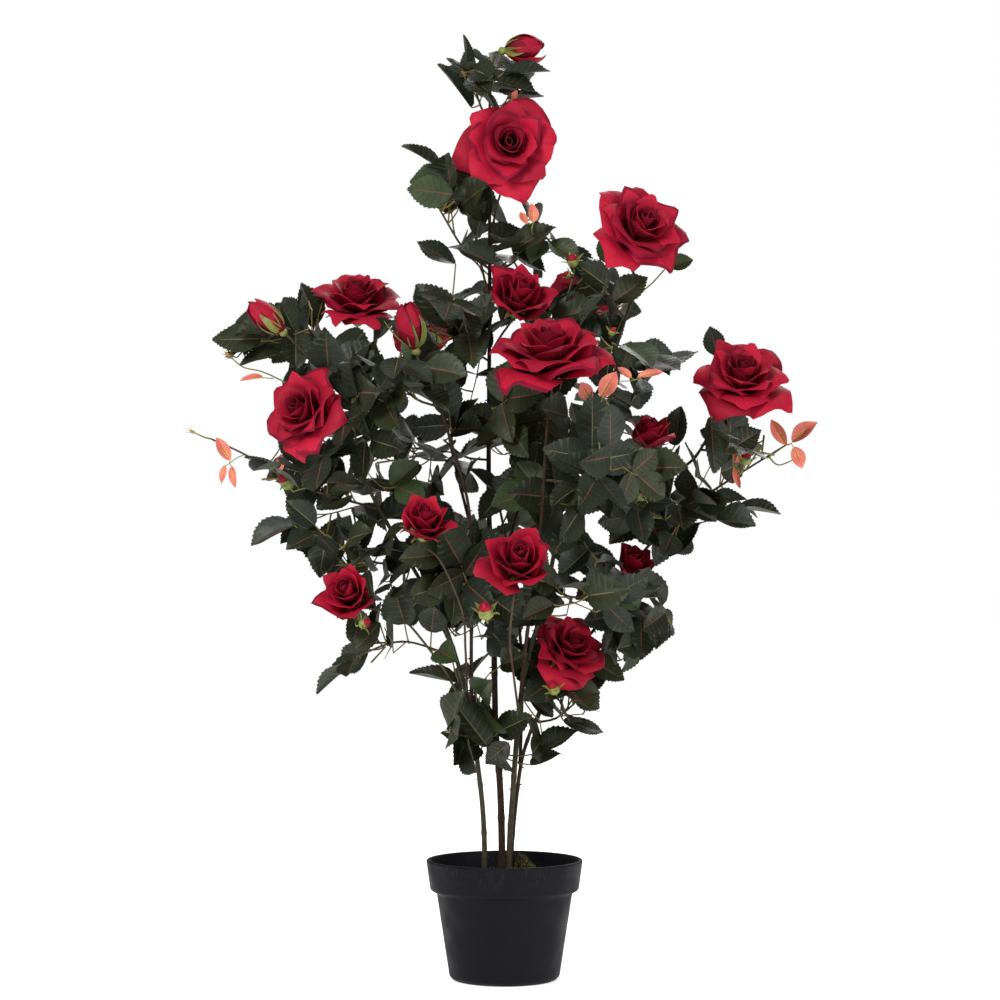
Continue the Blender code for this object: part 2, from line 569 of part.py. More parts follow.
def seated(carrier, first, second, radius):
    """The start of a limb on the side of its carrier, a gap clear of it, facing the limb's second point."""
    route, radii = carrier
    centre, axis, share = nearest_on(route, first)
    carrier_radius = (radii[0] + (radii[1] - radii[0]) * share) * MM
    way = unit(second - centre)
    out = way - axis * way.dot(axis)
    if share > 0.995:
        return route[-1] + axis * (GAP + radius * np.linalg.norm(out))
    out = unit(out)
    return centre + out * (carrier_radius + GAP + radius * abs(way.dot(axis)))


def snug(route, radii, sides, bark):
    """Bring a limb's foot up to its carrier's bark, to a gap clear of it."""
    for attempt in range(3):
        mesh = tube(route, radii, sides)
        ring = [vert.co for vert in mesh.vertices if (vert.co - Vector(route[0])).length < 1.01 * radii[0] * MM]
        spots = ring + [(one + other) / 2 for one, other in combinations(ring, 2)]
        found = [(bark.find_nearest(spot), spot) for spot in spots]
        (place, _, _, away), spot = min(found, key=lambda pair: pair[0][3])
        route[0] += np.array((place - spot).normalized()) * (away - GAP)
    return route


def limb_pieces(limbs):
    """Every limb's straight pieces as (starts, ends, radii) arrays."""
    starts, ends, thick = [], [], []
    for route, radii in limbs:
        count = len(route) - 1
        for index in range(count):
            starts.append(route[index])
            ends.append(route[index + 1])
            thick.append((radii[0] + (radii[1] - radii[0]) * index / count) * MM)
    return np.array(starts), np.array(ends), np.array(thick)


def bloom_place(row):
    """A bloom's centre, facing and radius in metres."""
    form, centre, radius, facing, carrier, stalk = row
    return laid_out(*centre), unit(np.array(facing)), radius * CM


def bloom_head(form, radius, seed):
    """A rose or bud at the origin facing +Z: a turned form whose petal edges are lobed."""
    rows = {"open": OPEN_FORM, "cup": CUP_FORM, "bud": BUD_FORM}[form]
    lobes = {"open": OPEN_LOBES, "cup": CUP_LOBES, "bud": []}[form]
    mesh = turned([(r * radius, z * radius) for r, z in reversed(rows)], ROSE_SIDES if form != "bud" else 8)
    rng = random.Random(seed)
    edges = [(rows[row][0] * radius, rows[row][1] * radius, out, drop, rng.uniform(0, 2 * math.pi))
             for row, out, drop in lobes]
    for vert in mesh.vertices:
        around = math.hypot(vert.co.x, vert.co.y)
        for edge_radius, edge_height, out, drop, phase in edges:
            if abs(around - edge_radius) + abs(vert.co.z - edge_height) < 0.01 * radius:
                wave = math.cos(LOBES_ROUND * math.atan2(vert.co.y, vert.co.x) + phase)
                grown = 1 + out * wave
                vert.co = Vector((vert.co.x * grown, vert.co.y * grown, vert.co.z + drop * wave * radius))
    return mesh


def stalk_route(row, limbs, barks):
    """A bloom's stalk: from a gap clear of its carrier, through its own points, into the hip."""
    form, centre, radius, facing, carrier, points = row
    place, way, size = bloom_place(row)
    hip = {"open": OPEN_FORM, "cup": CUP_FORM, "bud": BUD_FORM}[form][1][1]
    end = place + way * size * (hip + 0.04)
    neck = place + way * size * (hip - 0.35)
    middle = [laid_out(*point) for point in points]
    route = [middle[0], *middle[1:], neck, end]
    route[0] = seated(limbs[carrier], middle[0], route[1], STALK_RADIUS[1] * MM)
    return snug(smooth_route(route, CANE_STEP), STALK_RADIUS[::-1], 4, barks[carrier])


def add_bloom(name, row, stalk, seed, folder):
    form = row[0]
    place, way, size = bloom_place(row)
    rng = random.Random(seed)
    turn = Matrix.Translation(place) @ looking(way, rng.uniform(0, 2 * math.pi))
    head = bloom_head(form, size, seed)
    head.transform(turn)
    pieces = [head, tube(stalk, STALK_RADIUS[::-1], 4)]
    if form == "bud":
        for index in range(SEPALS):
            angle = index * 2 * math.pi / SEPALS
            out = Vector((math.cos(angle), math.sin(angle), 0))
            base = turn @ (out * 0.24 * size + Vector((0, 0, -1.42 * size)))
            way_out = turn.to_3x3() @ (out * (0.55 + 0.3 * (index % 2)) + Vector((0, 0, 1)))
            normal = turn.to_3x3() @ (out - Vector((0, 0, 0.5)))
            aim = unit(np.array(way_out))
            normal = unit(np.array(normal) - aim * np.array(normal).dot(aim))
            pieces.append(single_mesh(add_blade, np.array(base), aim, normal, 2.2 * size, 0.62 * size))
    fuse(name, pieces, folder, "petal")


def tree_of(mesh):
    return BVHTree.FromPolygons([vert.co for vert in mesh.vertices], [face.vertices for face in mesh.polygons])


class Crown:
    """What the foliage keeps clear of, and the space of each mass."""

    def __init__(self, limbs, stems, solids):
        self.starts, self.ends, self.thick = limb_pieces(limbs)
        self.stems = stems
        self.names = list(stems)
        owners, starts, ends = [], [], []
        for index, name in enumerate(self.names):
            line = stems[name]
            starts.extend(line[:-1])
            ends.extend(line[1:])
            owners.extend([index] * (len(line) - 1))
        self.owners, self.line_starts, self.line_ends = np.array(owners), np.array(starts), np.array(ends)
        self.blooms = [bloom_place(row) + (row[0],) for row in BLOOMS.values()]
        self.solids = solids
        self.placed = []
        self.middles = []

    def clear_of_limbs(self, points, clearance):
        away = distance_to(points, self.starts, self.ends) - self.thick
        return away.min() > clearance

    def clear_of_blooms(self, points):
        for place, way, size, form in self.blooms:
            along_axis = (points - place) @ way
            around = np.linalg.norm(points - place - along_axis[:, None] * way, axis=1)
            if form == "bud":
                inside = (around / (1.5 * size)) ** 2 + (along_axis / (2.1 * size)) ** 2 < 1
            else:
                middle = along_axis + 0.18 * size
                inside = (around / (1.15 * size)) ** 2 + (middle / (BLOOM_FLATNESS * size)) ** 2 < 1
            if inside.any():
                return False
        return True

    def in_space(self, name, points, reach):
        """Whether points keep to the space of a mass: within its reach and not well inside another's."""
        away = distance_to(points, self.line_starts, self.line_ends)
        mine = self.owners == self.names.index(name)
        own = away[:, mine].min(axis=1)
        other = away[:, ~mine].min(axis=1)
        return (own < reach).all() and (own < other + SPACE_OVERLAP).all()

    def in_outline(self, points):
        """Whether points lie inside the crown's outline and leave its gaps open, as seen from the front."""
        seen = seen_at(points)
        heights, lefts, rights = np.array(OUTLINE).T * CM
        across, height = seen.T
        if (across < np.interp(height, heights, lefts)).any() or (across > np.interp(height, heights, rights)).any():
            return False
        if (height < heights[0]).any() or (height > heights[-1]).any():
            return False
        for gap_across, gap_height, radius in SKY:
            if (np.hypot(across - gap_across * CM, height - gap_height * CM) < radius * CM).any():
                return False
        return True

    def touches(self, tree, middle, besides=()):
        """Whether a piece cuts any limb, bloom, twig or leaf, apart from those with one of some labels."""
        if any(tree.overlap(solid) for solid in self.solids):
            return True
        for other, spot, size, labels in self.placed:
            if not any(label in besides for label in labels):
                if np.linalg.norm(spot - middle) < size + LEAF_LENGTH * 1.9 and tree.overlap(other):
                    return True
        return False

    def place(self, tree, points, *labels):
        """Keep a piece that others must not touch; its labels are its mass and its own twig."""
        middle = points.mean(axis=0)
        size = np.linalg.norm(points - middle, axis=1).max()
        self.placed.append((tree, middle, size, labels))


def blade_points(base, direction, normal, length, width):
    """Points spread over a leaflet, to test what it touches."""
    side = np.cross(normal, direction)
    points = []
    for share, spread in ((0.08, 0), (0.25, 0.35), (0.45, 0.5), (0.7, 0.35), (0.97, 0)):
        middle = base + direction * share * length
        points.append(middle)
        for part in (0.5, 1.0):
            if spread:
                points.append(middle + side * width * spread * part)
                points.append(middle - side * width * spread * part)
    return np.array(points)


def straight_points(start, end, count=4):
    return np.array([start + (end - start) * k / count for k in range(1, count + 1)])


def turned_about(axis, angle, vector):
    return np.array(Matrix.Rotation(angle, 3, Vector(axis)) @ Vector(vector))


def compound_leaf(rng, place, way, size):
    """The stalk's end and the leaflets of one compound leaf that leaves a twig in a given way."""
    outward = unit(np.array([place[0], place[1] - OUTWARD_SHIFT, 0.02]))
    droop = unit(way + np.array([0, 0, -0.2 - 0.2 * rng.random()]))
    end = place + way * LEAF_STALK * size
    face = outward * 0.7 + np.array([rng.gauss(0, 0.3), rng.gauss(-FRONT_BIAS, 0.3), rng.gauss(0.5, 0.25)])
    normal = unit(face - droop * face.dot(droop))
    length = LEAF_LENGTH * size * rng.uniform(0.92, 1.08)
    width = LEAF_WIDTH * size * rng.uniform(0.9, 1.05)
    blades = [(end - way * LEAF_SUNK, droop, normal, length, width)]
    for sign in (-1, 1):
        knee = place + (end - place) * (SIDE_LEAF_AT + 0.03 * sign)
        aim = turned_about(normal, sign * (SIDE_LEAF_ANGLE + rng.uniform(-0.15, 0.15)), droop)
        blades.append((knee, aim, normal, length * SIDE_LEAF_SHARE, width * SIDE_LEAF_SHARE))
    return end, blades


def blades_tree(blades):
    shape = bmesh.new()
    for base, direction, normal, length, width in blades:
        root = base + direction * SHRUNK
        add_blade(shape, root, direction, normal, length - SHRUNK, width, BLADE_CLEARANCE)
    tree = BVHTree.FromBMesh(shape)
    shape.free()
    return tree


def rod_tree(start, end, radius):
    shape = bmesh.new()
    add_rod(shape, start, end, (radius, radius))
    tree = BVHTree.FromBMesh(shape)
    shape.free()
    return tree


def grow_twigs(name, row, stem, crown, rng):
    """A mass's stem and its side twigs, each in the first of a few ways that is free."""
    carrier, points, reach, side_twigs, leaf_count, seed = row
    twigs = [(stem, TWIG_RADIUS, name + " stem")]
    for index in range(side_twigs):
        start, way = along(stem, 0.5 + 0.4 * (index + rng.random() * 0.5) / side_twigs)
        across = unit(np.cross(way, np.array([0.3, 0.2, 0.9])))
        for attempt in range(TWIG_TRIES):
            out = turned_about(way, index * GOLDEN_ANGLE + attempt * 0.9 + rng.random(), across)
            aim = unit(way * 0.7 + out + np.array([0, 0, 0.35]))
            length = reach * CM * rng.uniform(0.4, 0.65)
            tip = start + aim * length
            spots = straight_points(start, tip)
            thick = SIDE_TWIG_RADIUS[1] * MM + TWIG_CLEARANCE
            whole, outer = rod_tree(start, tip, thick), rod_tree(start + aim * 3 * TWIG_CLEARANCE, tip, thick)
            if crown.in_space(name, spots, reach * CM) and crown.clear_of_limbs(spots[1:], LIMB_CLEARANCE) \
                    and crown.clear_of_blooms(spots) and crown.in_outline(spots) \
                    and not crown.touches(whole, (start + tip) / 2, [name]) \
                    and not crown.touches(outer, (start + tip) / 2, [name + " stem"]):
                label = name + " " + str(index)
                twigs.append((np.array([start, tip]), SIDE_TWIG_RADIUS, label))
                crown.place(rod_tree(start, tip, SIDE_TWIG_RADIUS[1] * MM), np.array([start, tip]), name, label)
                break
    return twigs


def leaf_nodes(twigs, rng):
    """Where leaves leave the twigs: the tips first, then the other nodes in a shuffled order."""
    nodes = []
    for route, _, label in twigs:
        length = np.linalg.norm(np.diff(route, axis=0), axis=1).sum()
        count = max(1, round(length / LEAF_SPACING))
        nodes.extend((route, (step + 1) / count, label) for step in range(count))
    rng.shuffle(nodes)
    nodes.sort(key=lambda node: node[1] < 0.99)
    return nodes


def grow_leaves(name, row, twigs, crown, rng):
    """Compound leaves on a mass's twigs, each the best of a few tries; what would touch anything is skipped."""
    carrier, points, reach, side_twigs, leaf_count, seed = row
    nodes = leaf_nodes(twigs, rng)
    leaves = []
    for number, (route, share, label) in enumerate(nodes * 2):
        if len(leaves) >= leaf_count:
            break
        place, way = along(route, share * (0.97 if number < len(nodes) else 0.8))
        across = unit(np.cross(way, np.array([0.1, 0.3, 0.9])))
        best = None
        for attempt in range(LEAF_TRIES):
            out = turned_about(way, attempt * GOLDEN_ANGLE + rng.random(), across)
            aim = unit(way * rng.uniform(0.2, 0.9) + out + np.array([0, 0, 0.1]))
            end, blades = compound_leaf(rng, place, aim, rng.uniform(0.86, 1.08))
            stalk = straight_points(place, end)
            if not crown.in_space(name, stalk, reach * CM) or not crown.clear_of_limbs(stalk, TWIG_CLEARANCE) \
                    or not crown.clear_of_blooms(stalk) \
                    or crown.touches(rod_tree(place, end, TWIG_CLEARANCE), end, [name]) \
                    or crown.touches(rod_tree(place + aim * 4 * TWIG_CLEARANCE, end, TWIG_CLEARANCE), end, [label]):
                continue
            kept = []
            for blade in blades:
                spots = blade_points(*blade)
                if crown.in_space(name, spots, reach * CM) and crown.clear_of_limbs(spots, LIMB_CLEARANCE) \
                        and crown.clear_of_blooms(spots) and crown.in_outline(spots) \
                        and not crown.touches(blades_tree([blade]), spots.mean(axis=0)):
                    kept.append(blade)
            if not kept or kept[0] is not blades[0]:
                continue
            middles = [blade[0] + blade[1] * blade[3] / 2 for blade in kept]
            seen = seen_at(np.array(middles))
            apart = [LEAF_LENGTH * 1.5]
            if crown.middles:
                apart = np.linalg.norm(seen[:, None] - seen_at(np.array(crown.middles)), axis=2).min(axis=1)
            score = len(kept) + EVENNESS * min(np.mean(apart) / LEAF_LENGTH, 1.0)
            if best is None or score > best[0]:
                best = (score, place, end, kept, middles)
        if best is not None:
            score, place, end, kept, middles = best
            leaves.append((place, end, kept))
            crown.middles.extend(middles)
            spots = np.concatenate([blade_points(*blade) for blade in kept])
            crown.place(blades_tree(kept), spots, name)
            crown.place(rod_tree(place, end, LEAF_STALK_RADIUS[1]), np.array([place, end]), name)
    return leaves


def leaf_pieces(leaf):
    place, end, kept = leaf
    return [single_mesh(add_rod, place, end, LEAF_STALK_RADIUS)] + [single_mesh(add_blade, *blade) for blade in kept]


def add_mass(name, twigs, leaves, folder):
    """Join a mass; if its leaves don't close into one solid, it does without one of them, or two."""
    wood = [tube(route, radii, 3) for route, radii, _ in twigs]
    grown = [leaf_pieces(leaf) for leaf in leaves]
    for missing in (0, 1, 2):
        for left_out in combinations(range(len(grown)), missing):
            kept = [pieces for index, pieces in enumerate(grown) if index not in left_out]
            parts = wood + [piece for pieces in kept for piece in pieces]
            if fuse(name, parts, folder, "leaf", MASS_SHARE * sum(volume_of(part) for part in parts)):
                return sum(len(pieces) - 1 for pieces in kept)
    return 0


def mass_stem(row, limbs, barks):
    carrier, points, *_ = row
    places = [laid_out(*point) for point in points]
    places[0] = seated(limbs[carrier], places[0], places[1], TWIG_RADIUS[0] * MM)
    if len(places) == 2:
        span = places[1] - places[0]
        places.insert(1, places[0] + span / 2 + np.array([0, 0, -TWIG_BOW * np.linalg.norm(span)]))
    return snug(smooth_route(places, TWIG_STEP), TWIG_RADIUS, 3, barks[carrier])


def add_limb(name, route, radii, folder):
    mesh = tube(route, radii, 6)
    mesh.name = name
    shade_round(add_object(name, mesh, folder, "cane"))
    return tree_of(mesh)


def main():
    for leftover in list(bpy.data.objects):
        bpy.data.objects.remove(leftover)
    folder = collection("rose bush")
    add_twig_section()
    limbs, barks = {}, {}
    for name, (points, radii) in CANES.items():
        limbs[name] = (cane_route(points), radii)
        barks[name] = add_limb(name, *limbs[name], folder)
    for name, (carrier, points, radii) in BOUGHS.items():
        places = [laid_out(*point) for point in points]
        places[0] = seated(limbs[carrier], places[0], places[1], radii[0] * MM)
        limbs[name] = (snug(smooth_route(places, CANE_STEP), radii, 6, barks[carrier]), radii)
        barks[name] = add_limb(name, *limbs[name], folder)
    pot_profile = add_pot(folder)
    add_filling(folder, pot_profile, [limbs[name] for name in CANES])
    stalks = {name: stalk_route(row, limbs, barks) for name, row in BLOOMS.items()}
    for seed, (name, row) in enumerate(BLOOMS.items()):
        add_bloom(name, row, stalks[name], seed, folder)
    stems = {name: mass_stem(row, limbs, barks) for name, row in MASSES.items()}
    thin = [(stalk, STALK_RADIUS) for stalk in stalks.values()]
    crown = Crown(list(limbs.values()) + thin, stems, [tree_of(piece.data) for piece in folder.objects])
    for name, stem in stems.items():
        crown.place(tree_of(tube(stem, TWIG_RADIUS, 3)), stem, name, name + " stem")
    draws = {name: random.Random(row[-1]) for name, row in MASSES.items()}
    twigs = {name: grow_twigs(name, row, stems[name], crown, draws[name]) for name, row in MASSES.items()}
    blades = 0
    for name, row in MASSES.items():
        leaves = grow_leaves(name, row, twigs[name], crown, draws[name])
        print(name, "leaves", len(leaves), "of", row[-2], "side twigs", len(twigs[name]) - 1, "of", row[3])
        blades += add_mass(name, twigs[name], leaves, folder)
    bpy.data.objects.remove(bpy.data.objects["twig section"])
    triangles = 0
    for piece in folder.objects:
        triangles += sum(len(face.vertices) - 2 for face in piece.data.polygons)
    print("leaflets", blades, "triangles", triangles, "nodes", len(folder.objects))


main()
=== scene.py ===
# %% [markdown]
# # An artificial rose bush in a plastic pot
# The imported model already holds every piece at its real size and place, as plain solids. This lesson
# dresses it: the pot gets its worn plastic, the canes their bark and thorns, and each rose and leaf its own
# thin sheet. Everything is in metres with +Z up, and the front of the bush is towards -Y.

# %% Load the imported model
import math
import time
from random import Random

import bpy
import numpy as np
from mathutils import Matrix, Vector, noise
from mathutils.bvhtree import BVHTree
from numpy.linalg import norm


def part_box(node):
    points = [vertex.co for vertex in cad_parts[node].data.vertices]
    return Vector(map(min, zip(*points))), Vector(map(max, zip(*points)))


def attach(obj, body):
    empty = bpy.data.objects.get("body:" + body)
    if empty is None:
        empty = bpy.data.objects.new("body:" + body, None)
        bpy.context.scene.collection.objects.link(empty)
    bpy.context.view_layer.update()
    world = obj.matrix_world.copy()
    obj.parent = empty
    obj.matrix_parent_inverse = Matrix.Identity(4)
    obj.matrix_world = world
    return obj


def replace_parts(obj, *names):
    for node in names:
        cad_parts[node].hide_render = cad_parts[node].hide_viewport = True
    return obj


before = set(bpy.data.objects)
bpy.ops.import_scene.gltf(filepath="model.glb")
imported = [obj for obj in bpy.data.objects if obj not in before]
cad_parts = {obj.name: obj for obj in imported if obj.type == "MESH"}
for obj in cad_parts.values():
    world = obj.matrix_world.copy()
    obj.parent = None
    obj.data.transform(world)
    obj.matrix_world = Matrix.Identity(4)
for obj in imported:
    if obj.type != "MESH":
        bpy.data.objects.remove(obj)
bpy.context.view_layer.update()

CM = 0.01
MM = 0.001
scene = bpy.context.scene

# %% [markdown]
# ## The picture first
# A product photo like this one is taken level, from far away, with a long lens, at about half the bush's
# height. The camera comes first, because it says at which size a detail can still be seen.

# %% Camera
VIEW_DISTANCE = 3.5
VIEW_HEIGHT = 0.548
VIEW_ACROSS = -0.00515
VIEW_LENS = 110.1
SENSOR = 36.0

camera_data = bpy.data.cameras.new("camera")
camera_data.lens = VIEW_LENS
camera_data.sensor_width = SENSOR
camera = bpy.data.objects.new("camera", camera_data)
camera.location = (VIEW_ACROSS, -VIEW_DISTANCE, VIEW_HEIGHT)
camera.rotation_euler = (math.radians(90), 0, 0)
scene.collection.objects.link(camera)
scene.camera = camera
scene.view_settings.view_transform = "Standard"
print("camera", VIEW_LENS, "mm lens,", VIEW_DISTANCE, "m away")

# %% [markdown]
# ## Soft light
# The studio's light is soft and even, so a white world does most of the work and three large lamps only
# shape the leaves and petals. The camera sees a brighter white than the one that lights the bush, so the
# background is pure white.

# %% Lamps
MIDDLE = (0, 0, 0.6)


def soft_lamp(name, place, target, size, power):
    """A large square lamp that looks at a point of the bush."""
    data = bpy.data.lights.new(name, "AREA")
    data.size = size
    data.energy = power
    lamp = bpy.data.objects.new(name, data)
    lamp.location = place
    lamp.rotation_euler = (Vector(target) - Vector(place)).to_track_quat("-Z", "Y").to_euler()
    scene.collection.objects.link(lamp)
    return lamp


soft_lamp("key lamp", (-1.5, -2.9, 2.5), MIDDLE, 1.1, 100)
soft_lamp("fill lamp", (2.6, -2.4, 1.0), MIDDLE, 1.8, 38)
soft_lamp("back lamp", (0.6, 2.0, 2.4), MIDDLE, 1.4, 45)
print("lamps", len(bpy.data.lights))

# %% World
ROOM_LIGHT = 0.36
WHITE = (1.0, 1.0, 1.0, 1.0)


def set_inputs(tree, node, inputs):
    """Give each input of a node a value, or a link from a (node, output)."""
    for label, given in inputs.items():
        if isinstance(given, tuple) and isinstance(given[0], bpy.types.Node):
            tree.links.new(given[0].outputs[given[1]], node.inputs[label])
        else:
            node.inputs[label].default_value = given


def new_node(tree, kind, inputs, **settings):
    """A new shader node of a kind, with its settings and its inputs."""
    made = tree.nodes.new("ShaderNode" + kind)
    for setting, value in settings.items():
        setattr(made, setting, value)
    set_inputs(tree, made, inputs)
    return made


world = bpy.data.worlds.new("studio")
world.use_nodes = True
studio = world.node_tree
room = studio.nodes["Background"]
set_inputs(studio, room, {"Color": WHITE, "Strength": ROOM_LIGHT})
backdrop = new_node(studio, "Background", {"Color": WHITE})
seen_ray = new_node(studio, "LightPath", {})
choice = new_node(studio, "MixShader", {
    0: (seen_ray, "Is Camera Ray"), 1: (room, "Background"), 2: (backdrop, "Background")})
set_inputs(studio, studio.nodes["World Output"], {"Surface": (choice, "Shader")})

scene.world = world
print("world", world.name, "strength", ROOM_LIGHT)

# %% [markdown]
# ## Finishes
# Cloth, bark and moulded plastic are slightly uneven in tone and slightly rough. That could be painted as
# pictures, but noise needs no unwrapping and is sharp at every size. What the finishes share is built once
# as a node group, and each material places it with its own values.

# %% Mottled tones as a node group
# Numbers of the colour sockets of a Mix node: its two inputs and its output
MIX_A, MIX_B, MIX_COLOR = 6, 7, 2


def new_group(name, inputs, outputs):
    """An empty shader node group with named inputs, which have a first value, and named outputs."""
    group = bpy.data.node_groups.new(name, "ShaderNodeTree")
    for label, value in inputs.items():
        kind = "NodeSocketColor" if isinstance(value, tuple) else "NodeSocketFloat"
        socket = group.interface.new_socket(label, in_out="INPUT", socket_type=kind)
        socket.default_value = value
    for label, kind in outputs.items():
        group.interface.new_socket(label, in_out="OUTPUT", socket_type=kind)
    return group, group.nodes.new("NodeGroupInput"), group.nodes.new("NodeGroupOutput")


def mottled_group():
    """Two tones dealt out in soft patches, with a mask for roughness and a fine grain for bump."""
    group, given, made = new_group(
        "soft mottling",
        {"Tone A": (0.5, 0.5, 0.5, 1), "Tone B": (0.4, 0.4, 0.4, 1), "Patches": 60.0, "Grain": 900.0},
        {"Color": "NodeSocketColor", "Mask": "NodeSocketFloat", "Height": "NodeSocketFloat"})
    place = new_node(group, "TexCoord", {})
    patches = new_node(group, "TexNoise", {
        "Detail": 3.0, "Vector": (place, "Object"), "Scale": (given, "Patches")})
    grain = new_node(group, "TexNoise", {
        "Detail": 2.0, "Vector": (place, "Object"), "Scale": (given, "Grain")})
    spread = new_node(group, "MapRange", {"From Min": 0.35, "From Max": 0.65, "Value": (patches, "Fac")})
    mix = new_node(group, "Mix", {
        "Factor": (spread, "Result"), MIX_A: (given, "Tone A"), MIX_B: (given, "Tone B")}, data_type="RGBA")
    set_inputs(group, made, {
        "Color": (mix, MIX_COLOR), "Mask": (spread, "Result"), "Height": (grain, "Fac")})
    return group


MOTTLED = mottled_group()
print("node group", MOTTLED.name, "with", len(MOTTLED.nodes), "nodes")

# %% A finish


def finish(name, tone_a, tone_b, roughness, patches=60.0, grain=900.0, bump=0.05, specular=0.5):
    """A material of two mottled tones, with its roughness between two values and a fine bump."""
    made = bpy.data.materials.new(name)
    made.use_nodes = True
    tree = made.node_tree
    tones = new_node(tree, "Group", {}, node_tree=MOTTLED)
    set_inputs(tree, tones, {
        "Tone A": (*tone_a, 1), "Tone B": (*tone_b, 1), "Patches": patches, "Grain": grain})
    rough = new_node(tree, "MapRange", {
        "To Min": roughness[0], "To Max": roughness[1], "Value": (tones, "Mask")})
    lift = new_node(tree, "Bump", {"Strength": bump, "Distance": MM, "Height": (tones, "Height")})
    set_inputs(tree, tree.nodes["Principled BSDF"], {
        "Specular IOR Level": specular, "Base Color": (tones, "Color"), "Roughness": (rough, "Result"),
        "Normal": (lift, "Normal")})
    return made


def finishes(tints, **shared):
    """Several finishes with the same patches, grain and bump, from a table of their tints."""
    return [finish(name, *tint, specular=specular, **shared) for name, (*tint, specular) in tints.items()]


# %% [markdown]
# ## One mesh from many small pieces
# A bush has hundreds of leaves and petals. Blender is slow with thousands of objects and quick with large
# arrays, so each kind of piece is worked out with numpy and gathered in a pile, and the pile becomes one
# mesh. A cloth petal or leaf is a closed thin sheet, and a stalk or twig is a tube swept along its route.

# %% The pile
SHARP_ANGLE = math.radians(62)


class Pile:
    """Points and faces of many small pieces, gathered before they become one mesh."""

    def __init__(self):
        self.points, self.faces, self.slots = [], [], []
        self.count = 0

    def add(self, points, faces, slot=0, ends=None, end_slot=None):
        """Add a piece; its ends are the faces that have another number of corners than the rest."""
        self.faces.append(faces + self.count)
        self.slots.append(np.broadcast_to(slot, len(faces)))
        if ends is not None:
            self.faces.append(ends + self.count)
            self.slots.append(np.broadcast_to(slot if end_slot is None else end_slot, len(ends)))
        self.points.append(points)
        self.count += len(points)

    def triangles(self):
        return sum(len(faces) * (faces.shape[1] - 2) for faces in self.faces)

    def mesh_object(self, name, materials, slot):
        """The whole pile as one smooth mesh object that rides on the root; its slot is not used."""
        mesh = bpy.data.meshes.new(name)
        corners = np.concatenate([faces.ravel() for faces in self.faces]).astype(np.int32)
        sizes = np.concatenate([np.full(len(faces), faces.shape[1]) for faces in self.faces])
        starts = np.concatenate([[0], np.cumsum(sizes)[:-1]]).astype(np.int32)
        mesh.vertices.add(self.count)
        mesh.vertices.foreach_set("co", np.concatenate(self.points).astype(np.float32).ravel())
        mesh.loops.add(len(corners))
        mesh.loops.foreach_set("vertex_index", corners)
        mesh.polygons.add(len(starts))
        mesh.polygons.foreach_set("loop_start", starts)
        mesh.polygons.foreach_set("material_index", np.concatenate(self.slots).astype(np.int32))
        mesh.update(calc_edges=True)
        mesh.validate()
        for finish_made in materials:
            mesh.materials.append(finish_made)
        mesh.shade_smooth()
        mesh.set_sharp_from_angle(angle=SHARP_ANGLE)
        made = bpy.data.objects.new(name, mesh)
        scene.collection.objects.link(made)
        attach(made, "root")
        print(name, "triangles", self.triangles())
        return made


# %% Sheets and tubes


def grid_faces(rows, columns, closed=False):
    """Faces between neighbouring rows of points; a closed grid joins each row's last point to its first."""
    corner = np.arange(rows - 1)[:, None] * columns
    here = np.arange(columns if closed else columns - 1)[None]
    after = (here + 1) % columns
    quads = [corner + here, corner + columns + here, corner + columns + after, corner + after]
    return np.stack(quads, axis=-1).reshape(-1, 4)


def add_sheet(pile, grid, thickness, slots=0, under_slots=None, edge_slot=0):
    """Add a closed thin sheet round a grid of points, with slots for its top, underside and edge."""
    rows, columns = grid.shape[:2]
    normal = np.cross(np.gradient(grid, axis=0), np.gradient(grid, axis=1))
    normal /= norm(normal, axis=2, keepdims=True) + 1e-12
    half = normal * thickness / 2
    points = np.concatenate([(grid + half).reshape(-1, 3), (grid - half).reshape(-1, 3)])
    top = grid_faces(rows, columns)
    number = np.arange(rows * columns).reshape(rows, columns)
    ring = np.concatenate([number[0, :-1], number[:-1, -1], number[-1, :0:-1], number[:0:-1, 0]])
    after = np.roll(ring, -1)
    under = rows * columns
    edge = np.stack([ring, after, after + under, ring + under], axis=-1)
    top_slots = np.broadcast_to(slots, len(top))
    if under_slots is None:
        under_slots = top_slots
    pile.add(points, np.concatenate([top, top[:, ::-1] + under, edge]),
             np.concatenate([top_slots, under_slots, np.full(len(edge), edge_slot)]))


def capped(rings, ends):
    """Points and faces of rings of points in a row, closed at each end by a cap round one point."""
    count, sides = rings.shape[:2]
    points = np.concatenate([rings.reshape(-1, 3), ends])
    first = np.arange(sides)
    last = first + (count - 1) * sides
    foot = np.stack([first, np.roll(first, -1), np.full(sides, len(points) - 2)], axis=-1)
    tip = np.stack([np.roll(last, -1), last, np.full(sides, len(points) - 1)], axis=-1)
    return points, grid_faces(count, sides, closed=True), np.concatenate([foot, tip])


def add_tube(pile, route, radii, sides, slot=0, bumps=None):
    """Add a closed round tube along a route; bumps grow or shrink its rings point by point."""
    ways = np.gradient(route, axis=0)
    ways /= norm(ways, axis=1, keepdims=True) + 1e-12
    side = np.cross(ways[0], (0.3, 0.9, 0.2))
    rings = []
    angles = np.arange(sides) * 2 * math.pi / sides
    for index, (place, way, radius) in enumerate(zip(route, ways, radii)):
        side = side - way * side.dot(way)
        side /= norm(side)
        other = np.cross(way, side)
        circle = np.cos(angles)[:, None] * side + np.sin(angles)[:, None] * other
        grown = radius if bumps is None else radius + bumps[index][:, None]
        rings.append(place + circle * grown)
    points, faces, caps = capped(np.array(rings), np.stack([route[0], route[-1]]))
    pile.add(points, faces[:, ::-1], slot, caps[:, ::-1])


